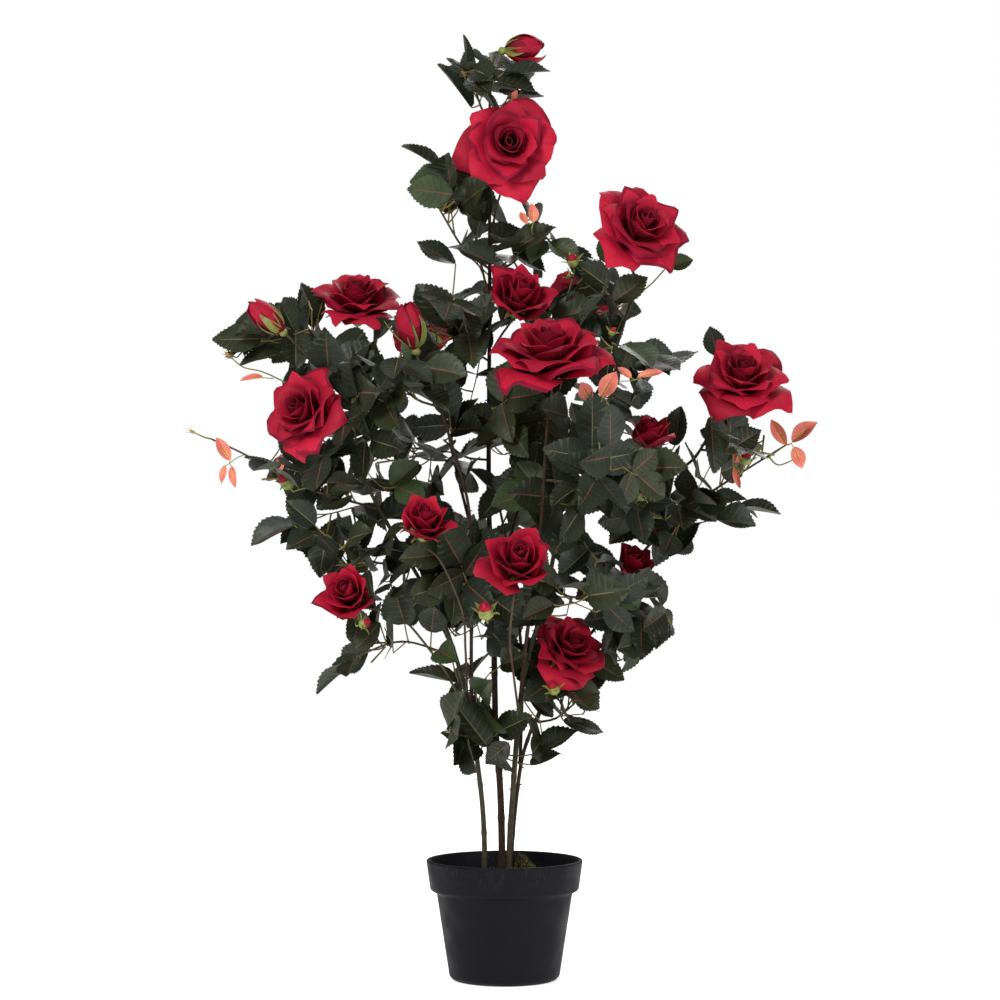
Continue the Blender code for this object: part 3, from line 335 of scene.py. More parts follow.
# %% [markdown]
# ## Where things stand
# Canes, roses and leaves are placed as they are seen from the front: across, height and depth in
# centimetres. What is further back looks smaller, so it is spread out by as much and is then seen where it
# was placed. A route is a smooth curve through a few such points.

# %% Helpers for places and routes
GOLDEN_ANGLE = math.radians(137.5)


def laid_out(across, height, depth):
    """A real point, from where it is seen on the plane through the pot's axis and its depth behind that."""
    spread = (VIEW_DISTANCE + depth * CM) / VIEW_DISTANCE
    return np.array([across * CM * spread, depth * CM, VIEW_HEIGHT + (height * CM - VIEW_HEIGHT) * spread])


def seen_at(points):
    """Where points are seen on the plane through the pot's axis, as (across, height) in metres."""
    spread = (VIEW_DISTANCE + points[:, 1]) / VIEW_DISTANCE
    return np.stack([points[:, 0] / spread, VIEW_HEIGHT + (points[:, 2] - VIEW_HEIGHT) / spread], axis=1)


def between(pair, t):
    return pair[0] + (pair[1] - pair[0]) * t


def unit(vector):
    return vector / norm(vector)


def smooth_route(points, step):
    """Points about a step apart on a smooth curve through the given ones."""
    ends = [2 * points[0] - points[1], *points, 2 * points[-1] - points[-2]]
    route = []
    for before, start, end, after in zip(ends, ends[1:], ends[2:], ends[3:]):
        pieces = max(1, round(norm(end - start) / step))
        for piece in range(pieces):
            t = piece / pieces
            bend = (2 * before - 5 * start + 4 * end - after) * t ** 2
            bend = bend + (3 * start - before - 3 * end + after) * t ** 3
            route.append(start + 0.5 * ((end - before) * t + bend))
    route.append(points[-1])
    return np.array(route)


def along(route, share):
    """The point and the direction at a share of a route's length."""
    spans = norm(np.diff(route, axis=0), axis=1)
    left = share * spans.sum()
    for index, span in enumerate(spans):
        if left <= span or index == len(spans) - 1:
            break
        left -= span
    direction = (route[index + 1] - route[index]) / spans[index]
    return route[index] + direction * min(left, spans[index]), direction


def nearest_on(route, point):
    """The nearest point of a route, the direction there and the share of the length before it."""
    starts = route[:-1]
    spans = np.diff(route, axis=0)
    lengths = norm(spans, axis=1)
    t = np.clip(((point - starts) * spans).sum(axis=1) / lengths ** 2, 0, 1)
    feet = starts + spans * t[:, None]
    index = int(norm(feet - point, axis=1).argmin())
    share = (lengths[:index].sum() + t[index] * lengths[index]) / lengths.sum()
    return feet[index], spans[index] / lengths[index], share


def distance_to(points, starts, ends):
    """Distances from each point to each straight piece, as an array of points by pieces."""
    spans = ends - starts
    t = ((points[:, None] - starts) * spans).sum(axis=2) / (spans ** 2).sum(axis=1)
    feet = starts + spans * np.clip(t, 0, 1)[..., None]
    return norm(points[:, None] - feet, axis=2)


def turned_about(axis, angle, vector):
    return np.array(Matrix.Rotation(angle, 3, Vector(axis)) @ Vector(vector))


def turned_to(way, spin=0.0):
    """The turn that takes +Z to a direction, after a spin about +Z, as a 3 x 3 array."""
    turn = Vector(way).to_track_quat("Z", "Y").to_matrix()
    return np.array(turn @ Matrix.Rotation(spin, 3, "Z"))


def spun(angle):
    """The turn by an angle about +Z, as a 3 x 3 array."""
    cos, sin = math.cos(angle), math.sin(angle)
    return np.array([[cos, -sin, 0], [sin, cos, 0], [0, 0, 1]])


# %% [markdown]
# ## The routes of canes and boughs
# Four wire canes stand in the filling and eight boughs leave them. They follow the routes of the solids,
# each a gap clear of what carries it, and all that grows later starts from these routes.

# %% Canes and boughs as routes
GAP = 0.3 * MM
FILL_TOP = 0.118
SOCKET_DEPTH = 0.025
CANE_STEP = 0.055
# name: (route, radii at the foot and at the tip in mm)
CANES = {
    "centre_cane": ([(-0.3, 15.9, 0), (-0.5, 22.1, 0), (-1.0, 28.6, 0), (-1.2, 37.6, 0.5), (-1.8, 54.8, 1),
        (-1.7, 77.7, 1), (-1.7, 99.4, 0), (-1.5, 103.6, 0)], (4.3, 1.4)),
    "left_cane": ([(-2.3, 15.9, -1), (-2.6, 20.7, -1), (-3.4, 26.9, -1.5), (-4.4, 32.7, -3),
        (-6.7, 40.1, -5), (-11.3, 48.4, -7), (-15.3, 55.6, -9), (-18.5, 63.0, -10)], (3.3, 1.7)),
    "right_cane": ([(0.6, 15.9, -1.6), (1.0, 22.1, -1.6), (1.7, 30.8, -3), (2.5, 35.9, -4), (4.6, 43.4, -5),
        (5.9, 50.2, -5), (7.0, 57.1, -5), (9.1, 64.2, -5), (11.7, 69.2, -5), (13.9, 75.7, -6),
        (15.4, 79.4, -6)], (3.5, 1.7)),
    "rear_cane": ([(0.9, 15.9, 2), (1.8, 24.0, 2.2), (2.8, 27.8, 2.2), (3.9, 30.4, 1.6), (4.9, 33.1, 1)],
        (2.8, 1.9)),
}
# name: (bough or cane it grows from, route, radii at the foot and at the tip in mm)
BOUGHS = {
    "upper_left_bough": ("left_cane", [(-6.0, 38.8, -4), (-8.8, 44.5, -1), (-10.8, 51.4, 0),
        (-12.2, 58.2, 1), (-14.6, 69.1, 3), (-15.9, 72.6, 3)], (2.3, 1.6)),
    "bud_bough": ("left_cane", [(-4.0, 30.6, -3), (-3.8, 38.8, -7), (-3.7, 46.8, -9), (-4.1, 53.8, -10),
        (-6.5, 62.6, -11), (-9.1, 70.2, -12)], (2.2, 1.5)),
    "rose_bough": ("right_cane", [(1.8, 31.9, -3), (2.5, 38.8, -8), (3.4, 45.6, -11), (4.2, 52.5, -13),
        (4.6, 59.4, -14), (5.0, 65.0, -14.5)], (2.3, 1.7)),
    "right_bough": ("right_cane", [(6.6, 54.2, -5), (10.9, 56.5, -2), (14.9, 57.2, -1), (20.8, 58.8, 0),
        (23.9, 63.0, -0.5)], (2.2, 1.6)),
    "far_right_bough": ("rear_cane", [(3.0, 28.4, 2), (6.4, 35.1, 4.5), (10.9, 40.8, 6), (15.5, 48.4, 6),
        (22.1, 54.7, 4)], (2.2, 1.4)),
    "back_left_bough": ("centre_cane", [(-1.2, 37.6, 0.5), (-3.0, 47.9, 8), (-6.0, 60.5, 15),
        (-7.8, 70.2, 19)], (2.3, 1.6)),
    "back_right_bough": ("centre_cane", [(-1.3, 42.2, 0.5), (1.2, 52.5, 9), (5.0, 64.0, 16),
        (8.0, 72.4, 19)], (2.3, 1.6)),
    "back_low_bough": ("rear_cane", [(1.8, 24.5, 2), (2.0, 36.5, 10), (0.9, 46.8, 17), (-0.5, 53.8, 20)],
        (2.2, 1.5)),
}


def cane_route(points):
    """A cane's route: straight down into its socket, then up along its own points."""
    places = [laid_out(*point) for point in points]
    foot = places[0]
    socket = np.array([foot[0], foot[1], FILL_TOP - SOCKET_DEPTH + GAP])
    collar = np.array([foot[0], foot[1], FILL_TOP + 2 * GAP])
    return smooth_route([socket, collar, *places], CANE_STEP)


def seated(carrier, first, second, radius):
    """The start of a limb on the side of its carrier, a gap clear of it, facing the limb's second point."""
    route, radii = carrier
    centre, axis, share = nearest_on(route, first)
    carrier_radius = between(radii, share) * MM
    way = unit(second - centre)
    out = way - axis * way.dot(axis)
    if share > 0.995:
        return route[-1] + axis * (GAP + radius * norm(out))
    out = unit(out)
    return centre + out * (carrier_radius + GAP + radius * abs(way.dot(axis)))


limbs = {name: (cane_route(points), radii) for name, (points, radii) in CANES.items()}
for limb_name, (limb_carrier, limb_points, limb_radii) in BOUGHS.items():
    limb_places = [laid_out(*point) for point in limb_points]
    limb_places[0] = seated(limbs[limb_carrier], limb_places[0], limb_places[1], limb_radii[0] * MM)
    limbs[limb_name] = (smooth_route(limb_places, CANE_STEP), limb_radii)
print("canes and boughs", len(limbs))

# %% [markdown]
# ## The pot
# The pot is thin moulded plastic, matt and nearly black, with rounded edges and a wide band under its rim.
# It could be built from cylinders, but it is a turned shape, so one rounded profile is swung round the
# axis. Its band carries faint lighter upright streaks, fullest towards the rim: partly scuffs that stacked
# pots rub into each other's bands, and partly a painted highlight where the rim catches the lamps. A noise
# that is squeezed across and drawn out upwards gives such streaks.

# %% Pot
POT_HEIGHT = 0.137
POT_FOOT_RADIUS = 0.0624
POT_BODY_TOP_RADIUS = 0.0777
POT_BAND_FOOT_RADIUS = 0.0850
POT_RIM_RADIUS = 0.0895
POT_BAND_HEIGHT = 0.034
POT_BAND_CHAMFER = 0.004
POT_FOOT_ROUND = 0.004
POT_WALL = 0.0025
POT_LIP = 0.0012
POT_TURNS = 128
POT_SOFTENED = 2.2 * MM


def softened(profile, round_by, steps=4):
    """A profile whose inner corners are replaced by small curves."""
    soft = [profile[0]]
    for before, corner, after in zip(profile, profile[1:], profile[2:]):
        before, corner, after = (np.array(point, float) for point in (before, corner, after))
        reach_in = min(round_by, norm(before - corner) * 0.45)
        reach_out = min(round_by, norm(after - corner) * 0.45)
        start = corner + unit(before - corner) * reach_in
        end = corner + unit(after - corner) * reach_out
        for step in range(steps + 1):
            t = step / steps
            soft.append(tuple((1 - t) ** 2 * start + 2 * t * (1 - t) * corner + t ** 2 * end))
    return soft + [profile[-1]]


def turned_shape(profile, turns):
    """Points and faces of a closed turned shape whose profile starts and ends on the axis."""
    angles = np.arange(turns) * 2 * math.pi / turns
    rings = [np.stack([radius * np.cos(angles), radius * np.sin(angles), np.full(turns, height)], axis=1)
             for radius, height in profile[1:-1]]
    return capped(np.array(rings), np.array([[0, 0, profile[0][1]], [0, 0, profile[-1][1]]]))


body_top = POT_HEIGHT - POT_BAND_HEIGHT - POT_BAND_CHAMFER
slope = (POT_BODY_TOP_RADIUS - POT_FOOT_RADIUS) / body_top
inner_top = POT_RIM_RADIUS - POT_WALL - 2 * POT_LIP
POT_PROFILE = [
    (0, 2 * POT_WALL),
    (POT_FOOT_RADIUS + slope * 2 * POT_WALL - POT_WALL, 2 * POT_WALL),
    (POT_BODY_TOP_RADIUS - POT_WALL, body_top),
    (POT_BAND_FOOT_RADIUS - 2 * POT_WALL, body_top + POT_BAND_CHAMFER + POT_WALL),
    (inner_top, POT_HEIGHT - POT_LIP),
    (inner_top + POT_LIP, POT_HEIGHT),
    (POT_RIM_RADIUS - POT_LIP, POT_HEIGHT),
    (POT_RIM_RADIUS, POT_HEIGHT - POT_LIP),
    (POT_BAND_FOOT_RADIUS, body_top + POT_BAND_CHAMFER),
    (POT_BODY_TOP_RADIUS, body_top),
    (POT_FOOT_RADIUS + slope * POT_FOOT_ROUND, POT_FOOT_ROUND),
    (POT_FOOT_RADIUS - POT_FOOT_ROUND, 0),
    (0, 0),
]
pot_pile = Pile()
pot_points, pot_faces, pot_caps = turned_shape(softened(POT_PROFILE, POT_SOFTENED), POT_TURNS)
pot_pile.add(pot_points, pot_faces, 0, pot_caps)
plastic = finish("worn black plastic with painted highlights", (0.0030, 0.0029, 0.0050), (0.0052, 0.0050, 0.0078), (0.50, 0.68),
                 patches=35.0, grain=2500.0, bump=0.04, specular=0.11)
pot = pot_pile.mesh_object("pot_shell", [plastic], "pot")
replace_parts(pot, "pot")

# %% Upright scuffs and painted highlight streaks
STREAK_STRETCH = (900, 900, 18)
STREAK_SPREAD = (0.55, 0.75)
STREAK_SHARE = 0.35
# The lighter tone of the streaks: scuffs, and painted highlight where the rim catches the lamps.
SCUFF_AND_HIGHLIGHT_TONE = (0.045, 0.045, 0.052, 1)
STREAKS_FULL_FROM = 0.4


def add_scuffs_and_painted_highlights(material, low, high):
    """Lay faint upright scuffs and painted highlight over a material's colour, none at one height and full
    at another.
    """
    tree = material.node_tree
    shader = tree.nodes["Principled BSDF"]
    plain = shader.inputs["Base Color"].links[0].from_node
    place = new_node(tree, "TexCoord", {})
    stretch = new_node(tree, "Mapping", {"Scale": STREAK_STRETCH, "Vector": (place, "Object")})
    streaks = new_node(tree, "TexNoise", {"Scale": 1.0, "Detail": 3.0, "Vector": (stretch, "Vector")})
    # The streaks: partly scuffs, partly painted highlight.
    worn = new_node(tree, "MapRange", {
        "From Min": STREAK_SPREAD[0], "From Max": STREAK_SPREAD[1], "To Max": STREAK_SHARE,
        "Value": (streaks, "Fac")})
    height = new_node(tree, "SeparateXYZ", {"Vector": (place, "Object")})
    on_band = new_node(tree, "MapRange", {"From Min": low, "From Max": high, "Value": (height, "Z")})
    share = new_node(tree, "Math", {0: (worn, "Result"), 1: (on_band, "Result")}, operation="MULTIPLY")
    scuffed = new_node(tree, "Mix", {
        "Factor": (share, "Value"), MIX_A: (plain, "Color"), MIX_B: SCUFF_AND_HIGHLIGHT_TONE}, data_type="RGBA")
    set_inputs(tree, shader, {"Base Color": (scuffed, MIX_COLOR)})


# Painted highlight and scuffs on the band, fullest towards the rim.
add_scuffs_and_painted_highlights(plastic, POT_HEIGHT - POT_BAND_HEIGHT, POT_HEIGHT - STREAKS_FULL_FROM * POT_BAND_HEIGHT)
print("nodes of the plastic", len(plastic.node_tree.nodes))

# %% [markdown]
# ## The filling
# The canes stand in a weighted filling with a crusty top, a little under the rim. Its solid is a plain
# disc; here the top is a ring grid whose heights come from a fractal noise, lower towards the edge.

# %% Filling
FILL_CROWN = 0.006
FILL_EDGE = 0.0828
FILL_FOOT = (0.0795, 0.100)
FILL_RINGS = 40
FILL_TURNS = 120
CRUST_SUNK = 0.8 * MM
CRUST_SCALE = 90
fill_pile = Pile()


def fill_height(x, y):
    """The height of the rough top of the filling."""
    out = math.hypot(x, y) / FILL_EDGE
    fall = FILL_CROWN * out ** 2
    rough = noise.fractal(Vector((x * CRUST_SCALE, y * CRUST_SCALE, 0)), 1.0, 2.0, 4) * 1.1 * MM
    return FILL_TOP - fall - CRUST_SUNK + rough


fill_profile = [(0, FILL_TOP)]
fill_profile += [(FILL_EDGE * ring / FILL_RINGS, FILL_TOP) for ring in range(1, FILL_RINGS + 1)]
fill_profile += [FILL_FOOT, (0, FILL_FOOT[1])]
fill_points, fill_faces, fill_caps = turned_shape(fill_profile, FILL_TURNS)
for number, (x, y, z) in enumerate(fill_points):
    if z > FILL_FOOT[1] + CM:
        fill_points[number, 2] = fill_height(x, y)
fill_pile.add(fill_points, fill_faces[:, ::-1], 0, fill_caps[:, ::-1])
crust = finish("crusty filling", (0.040, 0.032, 0.018), (0.018, 0.014, 0.009), (0.85, 0.98), patches=220.0,
               grain=1800.0, bump=0.5)
filling_top = fill_pile.mesh_object("filling_crust", [crust], "filling")
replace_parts(filling_top, "filling")

# %% [markdown]
# ## The moss
# Dyed moss is strewn over the filling, and one clump of it shows over the rim. It could be a particle
# system, but short tubes in three tones, each with its own bend, are plain geometry, the same each run.

# %% Moss
MOSS_RADII = np.array([0.6, 0.55, 0.45, 0.15]) * MM
OLIVE_MOSS, YELLOW_MOSS, BROWN_MOSS = 0, 1, 2
MOSS_TONES = (OLIVE_MOSS, OLIVE_MOSS, YELLOW_MOSS, BROWN_MOSS, BROWN_MOSS)
moss_rng = Random(7)
moss_pile = Pile()


def add_moss(centre, wide, tall, count, long):
    """A clump of short tangled fibres on the filling, within a half ellipsoid."""
    for _ in range(count):
        angle = moss_rng.uniform(0, 2 * math.pi)
        out = math.sqrt(moss_rng.random()) * wide
        x, y = centre[0] + out * math.cos(angle), centre[1] + out * math.sin(angle)
        if math.hypot(x, y) > FILL_EDGE - 5 * MM:
            continue
        room_up = tall * math.sqrt(max(0.0, 1 - (out / wide) ** 2))
        foot = np.array([x, y, fill_height(x, y) - 0.5 * MM + room_up * moss_rng.random() ** 0.7])
        lean = np.array([moss_rng.gauss(0, 0.9), moss_rng.gauss(0, 0.9), moss_rng.uniform(0.0, 1.0)])
        bend = np.array([moss_rng.gauss(0, 0.5), moss_rng.gauss(0, 0.5), moss_rng.gauss(0, 0.5)])
        reach = long * moss_rng.uniform(0.6, 1.2)
        route = np.array([foot + reach * (lean * t + bend * t * t) for t in (0, 0.35, 0.7, 1.0)])
        add_tube(moss_pile, route, MOSS_RADII, 3, moss_rng.choice(MOSS_TONES))


add_moss((0.0205, 0.008), 8 * MM, 25 * MM, 900, 2.8 * MM)
add_moss((0.0290, 0.004), 7 * MM, 15 * MM, 450, 2.8 * MM)
add_moss((-0.0340, -0.040), 4 * MM, 15 * MM, 110, 3 * MM)
add_moss((0.0560, -0.020), 4 * MM, 15 * MM, 110, 3 * MM)
add_moss((0.0, 0.0), 76 * MM, 1.5 * MM, 900, 5 * MM)
moss_finishes = [
    finish("olive moss", (0.12, 0.105, 0.020), (0.07, 0.065, 0.016), (0.8, 0.95)),
    finish("yellow moss", (0.26, 0.20, 0.045), (0.18, 0.13, 0.03), (0.8, 0.95)),
    finish("brown moss", (0.06, 0.040, 0.018), (0.035, 0.024, 0.012), (0.8, 0.95))]
moss = moss_pile.mesh_object("moss", moss_finishes, "filling")
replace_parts(moss, "filling")

# %% [markdown]
# ## Canes and boughs
# The canes are wire wrapped in plastic bark, brown or grey green, ridged along their length, swollen at
# each node and set with hooked thorns. A displacement could give the ridges; here each cane is a swept tube
# whose rings are grown by ridges and nodes, so they are in the mesh.

# %% Canes, boughs and thorns
CANE_SIDES = 16
CANE_RING = 3 * MM
CANE_SHARE = 0.96
NODE_SPACING = 55 * MM
NODE_SWELL = 0.16
NODE_LENGTH = 0.06
THORN_SPACING = 30 * MM
THORN_SHAPE = np.array([0.32, 0.20, 0.09, 0.02])
BROWN_BARK, GREEN_BARK = 0, 1
GREEN_CANES = ("left_cane", "right_cane")
cane_pile = Pile()
thorn_count = 0


def add_thorn(pile, place, way, out, tall):
    """A hooked thorn: a short cone that bends down towards the foot of its cane."""
    root = place - out * 1.0 * MM
    route = np.array([root, root + out * tall * 0.45, root + out * tall * 0.85 - way * tall * 0.12,
                      root + out * (tall + 1.0 * MM) - way * tall * 0.35])
    add_tube(pile, route, THORN_SHAPE * tall, 6)


for limb_number, (limb_name, (route, radii)) in enumerate(limbs.items()):
    rng = Random(limb_number)
    fine = smooth_route(route, CANE_RING)
    count = len(fine)
    shares = np.linspace(0, 1, count)
    lengths = np.concatenate([[0], np.cumsum(norm(np.diff(fine, axis=0), axis=1))])
    thick = between(radii, shares) * MM
    node_at = (lengths / NODE_SPACING + rng.random()) % 1.0
    thick = thick * (1 + NODE_SWELL * np.exp(-((node_at - 0.5) / NODE_LENGTH) ** 2))
    angles = np.arange(CANE_SIDES) * 2 * math.pi / CANE_SIDES
    turn = lengths[:, None] * 9.0 + rng.random() * 6
    ridges = 0.055 * np.sin(5 * angles[None] + turn) + 0.03 * np.sin(9 * angles[None] - 0.7 * turn)
    bark_slot = GREEN_BARK if limb_name in GREEN_CANES else BROWN_BARK
    add_tube(cane_pile, fine, thick * CANE_SHARE, CANE_SIDES, bark_slot, ridges * thick[:, None])
    reach = lengths[-1]
    spot = rng.uniform(10, 30) * MM
    while spot < reach - 10 * MM:
        place, way = along(fine, spot / reach)
        if place[2] > FILL_TOP + 8 * MM:
            across = unit(np.cross(way, (0.2, 0.3, 0.9)))
            out = turned_about(way, rng.uniform(0, 2 * math.pi), across)
            radius = np.interp(spot, lengths, thick)
            add_thorn(cane_pile, place + out * radius, way, out, rng.uniform(3.0, 5.0) * MM)
            thorn_count += 1
        spot += THORN_SPACING * rng.uniform(0.5, 1.5)
barks = [
    finish("brown bark", (0.040, 0.020, 0.011), (0.020, 0.010, 0.006), (0.5, 0.7), patches=150.0,
           grain=1400.0, bump=0.25, specular=0.16),
    finish("green bark", (0.046, 0.040, 0.019), (0.030, 0.026, 0.013), (0.5, 0.7), patches=150.0,
           grain=1400.0, bump=0.25, specular=0.18)]
canes = cane_pile.mesh_object("canes_and_boughs", barks, "canes")
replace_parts(canes, *limbs)
print("thorns", thorn_count)

# %% [markdown]
# ## Roses and buds
# A cloth rose is a spiral of stamped petals on a stalk: the heart stands rolled, and each ring further out
# is wider, leans further back and curls at its lip. Each petal could be modelled by hand, but one rule with
# a number t, 0 at the heart and 1 outermost, makes them all, and each rose draws its own small changes.

# %% The blooms
STALK_RADIUS = (1.2, 1.5)
# name: (form, centre, radius in cm, facing, what carries it, stalk route from there)
BLOOMS = {
    "top_bud": ("bud", (2.3, 106.6, 0), 1.75, (0.95, -0.25, 0.12), "centre_cane", [(-1.5, 103.6, 0)]),
    "top_rose": ("open", (0.6, 95.7, -7), 4.9, (0.05, -0.98, 0.12), "centre_cane", [(-1.8, 78.5, 1),
        (-3.1, 84.0, -1), (-3.4, 88.6, -2), (-2.2, 92.5, -2.6)]),
    "upper_right_rose": ("open", (15.8, 86.3, -8), 4.85, (0.42, -0.74, 0.52), "right_cane",
        [(15.4, 79.4, -6)]),
    "right_rose": ("open", (27.4, 69.3, -2), 4.85, (0.10, -0.66, 0.74), "right_bough",
        [(23.9, 63.0, -0.5)]),
    "upper_centre_rose": ("cup", (1.9, 78.8, -8), 3.6, (0.22, -0.72, 0.66), "centre_cane", [(-1.7, 71.5, 1),
        (-0.4, 73.6, -3)]),
    "centre_rose": ("open", (5.1, 72.3, -16), 5.8, (-0.05, -0.42, 0.90), "rose_bough",
        [(5.0, 65.0, -14.5)]),
    "upper_left_rose": ("open", (-16.8, 78.2, 2), 4.6, (0.02, -0.40, 0.92), "upper_left_bough",
        [(-15.9, 72.6, 3)]),
    "left_rose": ("open", (-23.3, 65.2, -14), 4.5, (-0.62, -0.70, 0.35), "left_cane", [(-18.5, 63.0, -10)]),
    "left_bud": ("bud", (-27.3, 75.7, -8), 1.7, (-0.74, -0.20, 0.64), "left_cane", [(-18.2, 62.2, -10),
        (-19.6, 66.2, -6.5), (-21.8, 70.3, -6)]),
    "inner_bud": ("bud", (-10.6, 74.6, -13), 1.8, (-0.16, -0.12, 0.98), "bud_bough", [(-9.1, 70.2, -12)]),
    "small_rose": ("cup", (-9.0, 52.9, -16), 3.0, (0.15, -0.62, 0.77), "left_cane", [(-3.9, 33.1, -3),
        (-4.9, 42.2, -12), (-7.4, 47.9, -15.5)]),
    "middle_rose": ("cup", (1.7, 48.4, -18), 3.7, (0.05, -0.78, 0.62), "right_cane", [(1.7, 30.8, -3),
        (0.6, 38.8, -11), (1.0, 43.5, -15.5)]),
    "left_low_rose": ("cup", (-18.1, 44.5, -12), 3.2, (-0.30, -0.82, 0.48), "left_cane", [(-4.1, 30.9, -3),
        (-7.7, 36.5, -8), (-11.7, 41.3, -9), (-14.6, 42.3, -9.5)]),
    "low_right_rose": ("open", (7.6, 38.2, -4), 4.0, (0.45, -0.60, 0.66), "rear_cane", [(4.9, 33.1, 1)]),
    "half_open_rose": ("cup", (16.8, 62.9, -6), 2.7, (0.10, -0.30, 0.95), "right_bough", [(18.9, 58.2, 0)]),
    "dim_rose": ("cup", (14.8, 48.0, 0), 2.5, (0.25, -0.55, 0.80), "far_right_bough", [(11.2, 41.4, 6)]),
    "back_top_rose": ("cup", (0.9, 94.9, 9), 3.8, (0.05, 0.80, 0.60), "centre_cane", [(-1.7, 84.6, 1),
        (-0.7, 89.1, 4.5)]),
    "back_left_rose": ("open", (-9.2, 75.0, 21), 4.0, (-0.35, 0.65, 0.68), "back_left_bough",
        [(-7.8, 70.2, 19)]),
    "back_right_rose": ("open", (9.2, 77.7, 21), 4.2, (0.35, 0.62, 0.70), "back_right_bough",
        [(8.0, 72.4, 19)]),
}
print("blooms", len(BLOOMS))

# %% One petal
PETAL_THICK = 0.5 * MM
PETAL_ROWS = 13
PETAL_COLUMNS = 11
BUD_FULLNESS = {"top_bud": 1.08, "left_bud": 0.80, "inner_bud": 0.86}
BUD_LENGTH = {"top_bud": 0.84, "inner_bud": 0.94}
# How far the petals sink, in degrees, where they hang down and where they lean to the front
DROOP_DOWN = 10
DROOP_FORWARD = 14
# form: petals, then (heart, outermost) of length, foot height, foot radius, lean at the foot, lean at the
# tip, curl of the lip and half width; angles in degrees, lengths for a bloom of radius 1
FORMS = {
    "open": (23, (0.78, 1.18), (-0.42, -0.60), (0.05, 0.12), (14, 56), (-14, 64), (8, 58), (0.34, 0.74)),
    "cup": (17, (0.95, 1.30), (-0.55, -0.90), (0.05, 0.16), (14, 60), (-12, 12), (5, 46), (0.36, 0.78)),
    "bud": (7, (3.10, 3.30), (-1.45, -1.55), (0.10, 0.14), (50, 54), (-44, -38), (0, 4), (0.74, 1.06)),
}


def petal_grid(form, t, tip_over, fullness, rng):
    """One petal of a rose with radius 1, at azimuth 0, as rows from its foot to its lip."""
    _, length, foot_height, foot_radius, lean_foot, lean_tip, lip, half_width = FORMS[form]
    v = np.linspace(0, 1, PETAL_ROWS)[:, None]
    u = np.linspace(-1, 1, PETAL_COLUMNS)[None]
    point = between((0.04, 0.20), t) if form != "bud" else 0.06
    notch = 0.018 * np.sin(6 * u + rng.uniform(0, 6))
    corner = rng.uniform(-0.25, 0.25)
    edge = 1 - between((0.16, 0.32), t) * np.abs(u) ** 2.2
    edge = edge + point * np.exp(-((u - corner) / 0.24) ** 2) + notch
    run = v * edge
    lean_to = between(lean_tip, t ** 0.85 if form == "open" else t)
    lean = between(lean_foot, t) + (lean_to - between(lean_foot, t)) * run
    lip_at = 0.74 - 0.12 * t
    curl = np.clip((run - lip_at) / (1 - lip_at), 0, None) ** 1.4
    lean = lean + between(lip, t) * curl * rng.uniform(0.7, 1.3)
    lean = np.radians(lean + tip_over * t * (0.4 + 0.6 * run) + rng.gauss(0, 2.5 * (1 + t)))
    long = between(length, t) * rng.uniform(0.95, 1.06)
    step = long * np.diff(run, axis=0, prepend=0)
    out = between(foot_radius, t) + np.cumsum(np.sin(lean) * step, axis=0)
    up = between(foot_height, t) + np.cumsum(np.cos(lean) * step, axis=0)
    grow = np.clip(v / 0.62, 0, 1)
    wide = between(half_width, t) * (0.30 + 0.70 * (3 * grow ** 2 - 2 * grow ** 3)) * rng.uniform(0.92, 1.08)
    wrap = np.maximum(out, 0.05) * (1 + (0.55 * t if form != "bud" else 0.05)) + 0.04
    bend = np.clip(u * wide / wrap, -2.6, 2.6)
    roll = (0.03 + 0.19 * t if form != "bud" else 0.02) * np.abs(u) ** 2.8 * v ** 2
    ruffle = (0.012 + 0.030 * t) * v ** 3
    out, wrap = out * fullness, wrap * fullness
    x = out - wrap + wrap * np.cos(bend) + roll * 0.5 + ruffle * np.sin(4.0 * u + rng.uniform(0, 6))
    y = wrap * np.sin(bend)
    z = up - roll + ruffle * np.sin(5.0 * u + rng.uniform(0, 6))
    return np.stack(np.broadcast_arrays(x, y, z), axis=-1)


# %% A whole bloom
# The darker slots are painted shade, deepest in the heart and at the feet of the petals, where the bloom
# shades itself.
BRIGHT, MIDDLE_RED, PAINTED_SHADE, HEART, BURGUNDY = 0, 1, 2, 3, 4
HEART_UNTIL, INNER_UNTIL = 0.14, 0.40


def petal_slots(t, rng):
    """Which finish each face of a petal has: painted shade, darker towards its foot and towards the heart.
    """
    rows = np.zeros(PETAL_ROWS - 1, int)
    bright = BRIGHT if rng.random() < 0.7 else MIDDLE_RED
    if t < HEART_UNTIL:
        rows[:] = PAINTED_SHADE
        rows[:7] = HEART
    elif t < INNER_UNTIL:
        rows[:] = MIDDLE_RED
        rows[:8] = PAINTED_SHADE
    else:
        rows[:] = bright
        rows[:6] = PAINTED_SHADE
    if rng.random() < 0.30:
        rows[-1] = BURGUNDY
    return np.repeat(rows, PETAL_COLUMNS - 1)


def add_rose(pile, name, row, seed):
    """All petals of a bloom, placed round its centre."""
    form, centre, radius, facing, _, _ = row
    rng = Random(seed)
    turn = turned_to(facing, rng.uniform(0, 2 * math.pi))
    place = laid_out(*centre)
    count = FORMS[form][0]
    for number in range(count):
        t = number / (count - 1)
        spin = spun(number * GOLDEN_ANGLE)
        out = turn @ spin @ np.array([1.0, 0, 0])
        tip_over = -DROOP_DOWN * out[2] - DROOP_FORWARD * out[1] if form != "bud" else 0
        grid = petal_grid(form, t, tip_over, BUD_FULLNESS.get(name, 1), rng) * radius * CM
        grid[..., 2] *= BUD_LENGTH.get(name, 1)
        slots = petal_slots(t, rng)
        backs = np.where(slots == BRIGHT, MIDDLE_RED, slots)
        add_sheet(pile, grid @ (turn @ spin).T + place, PETAL_THICK, slots, backs, slots[-1])


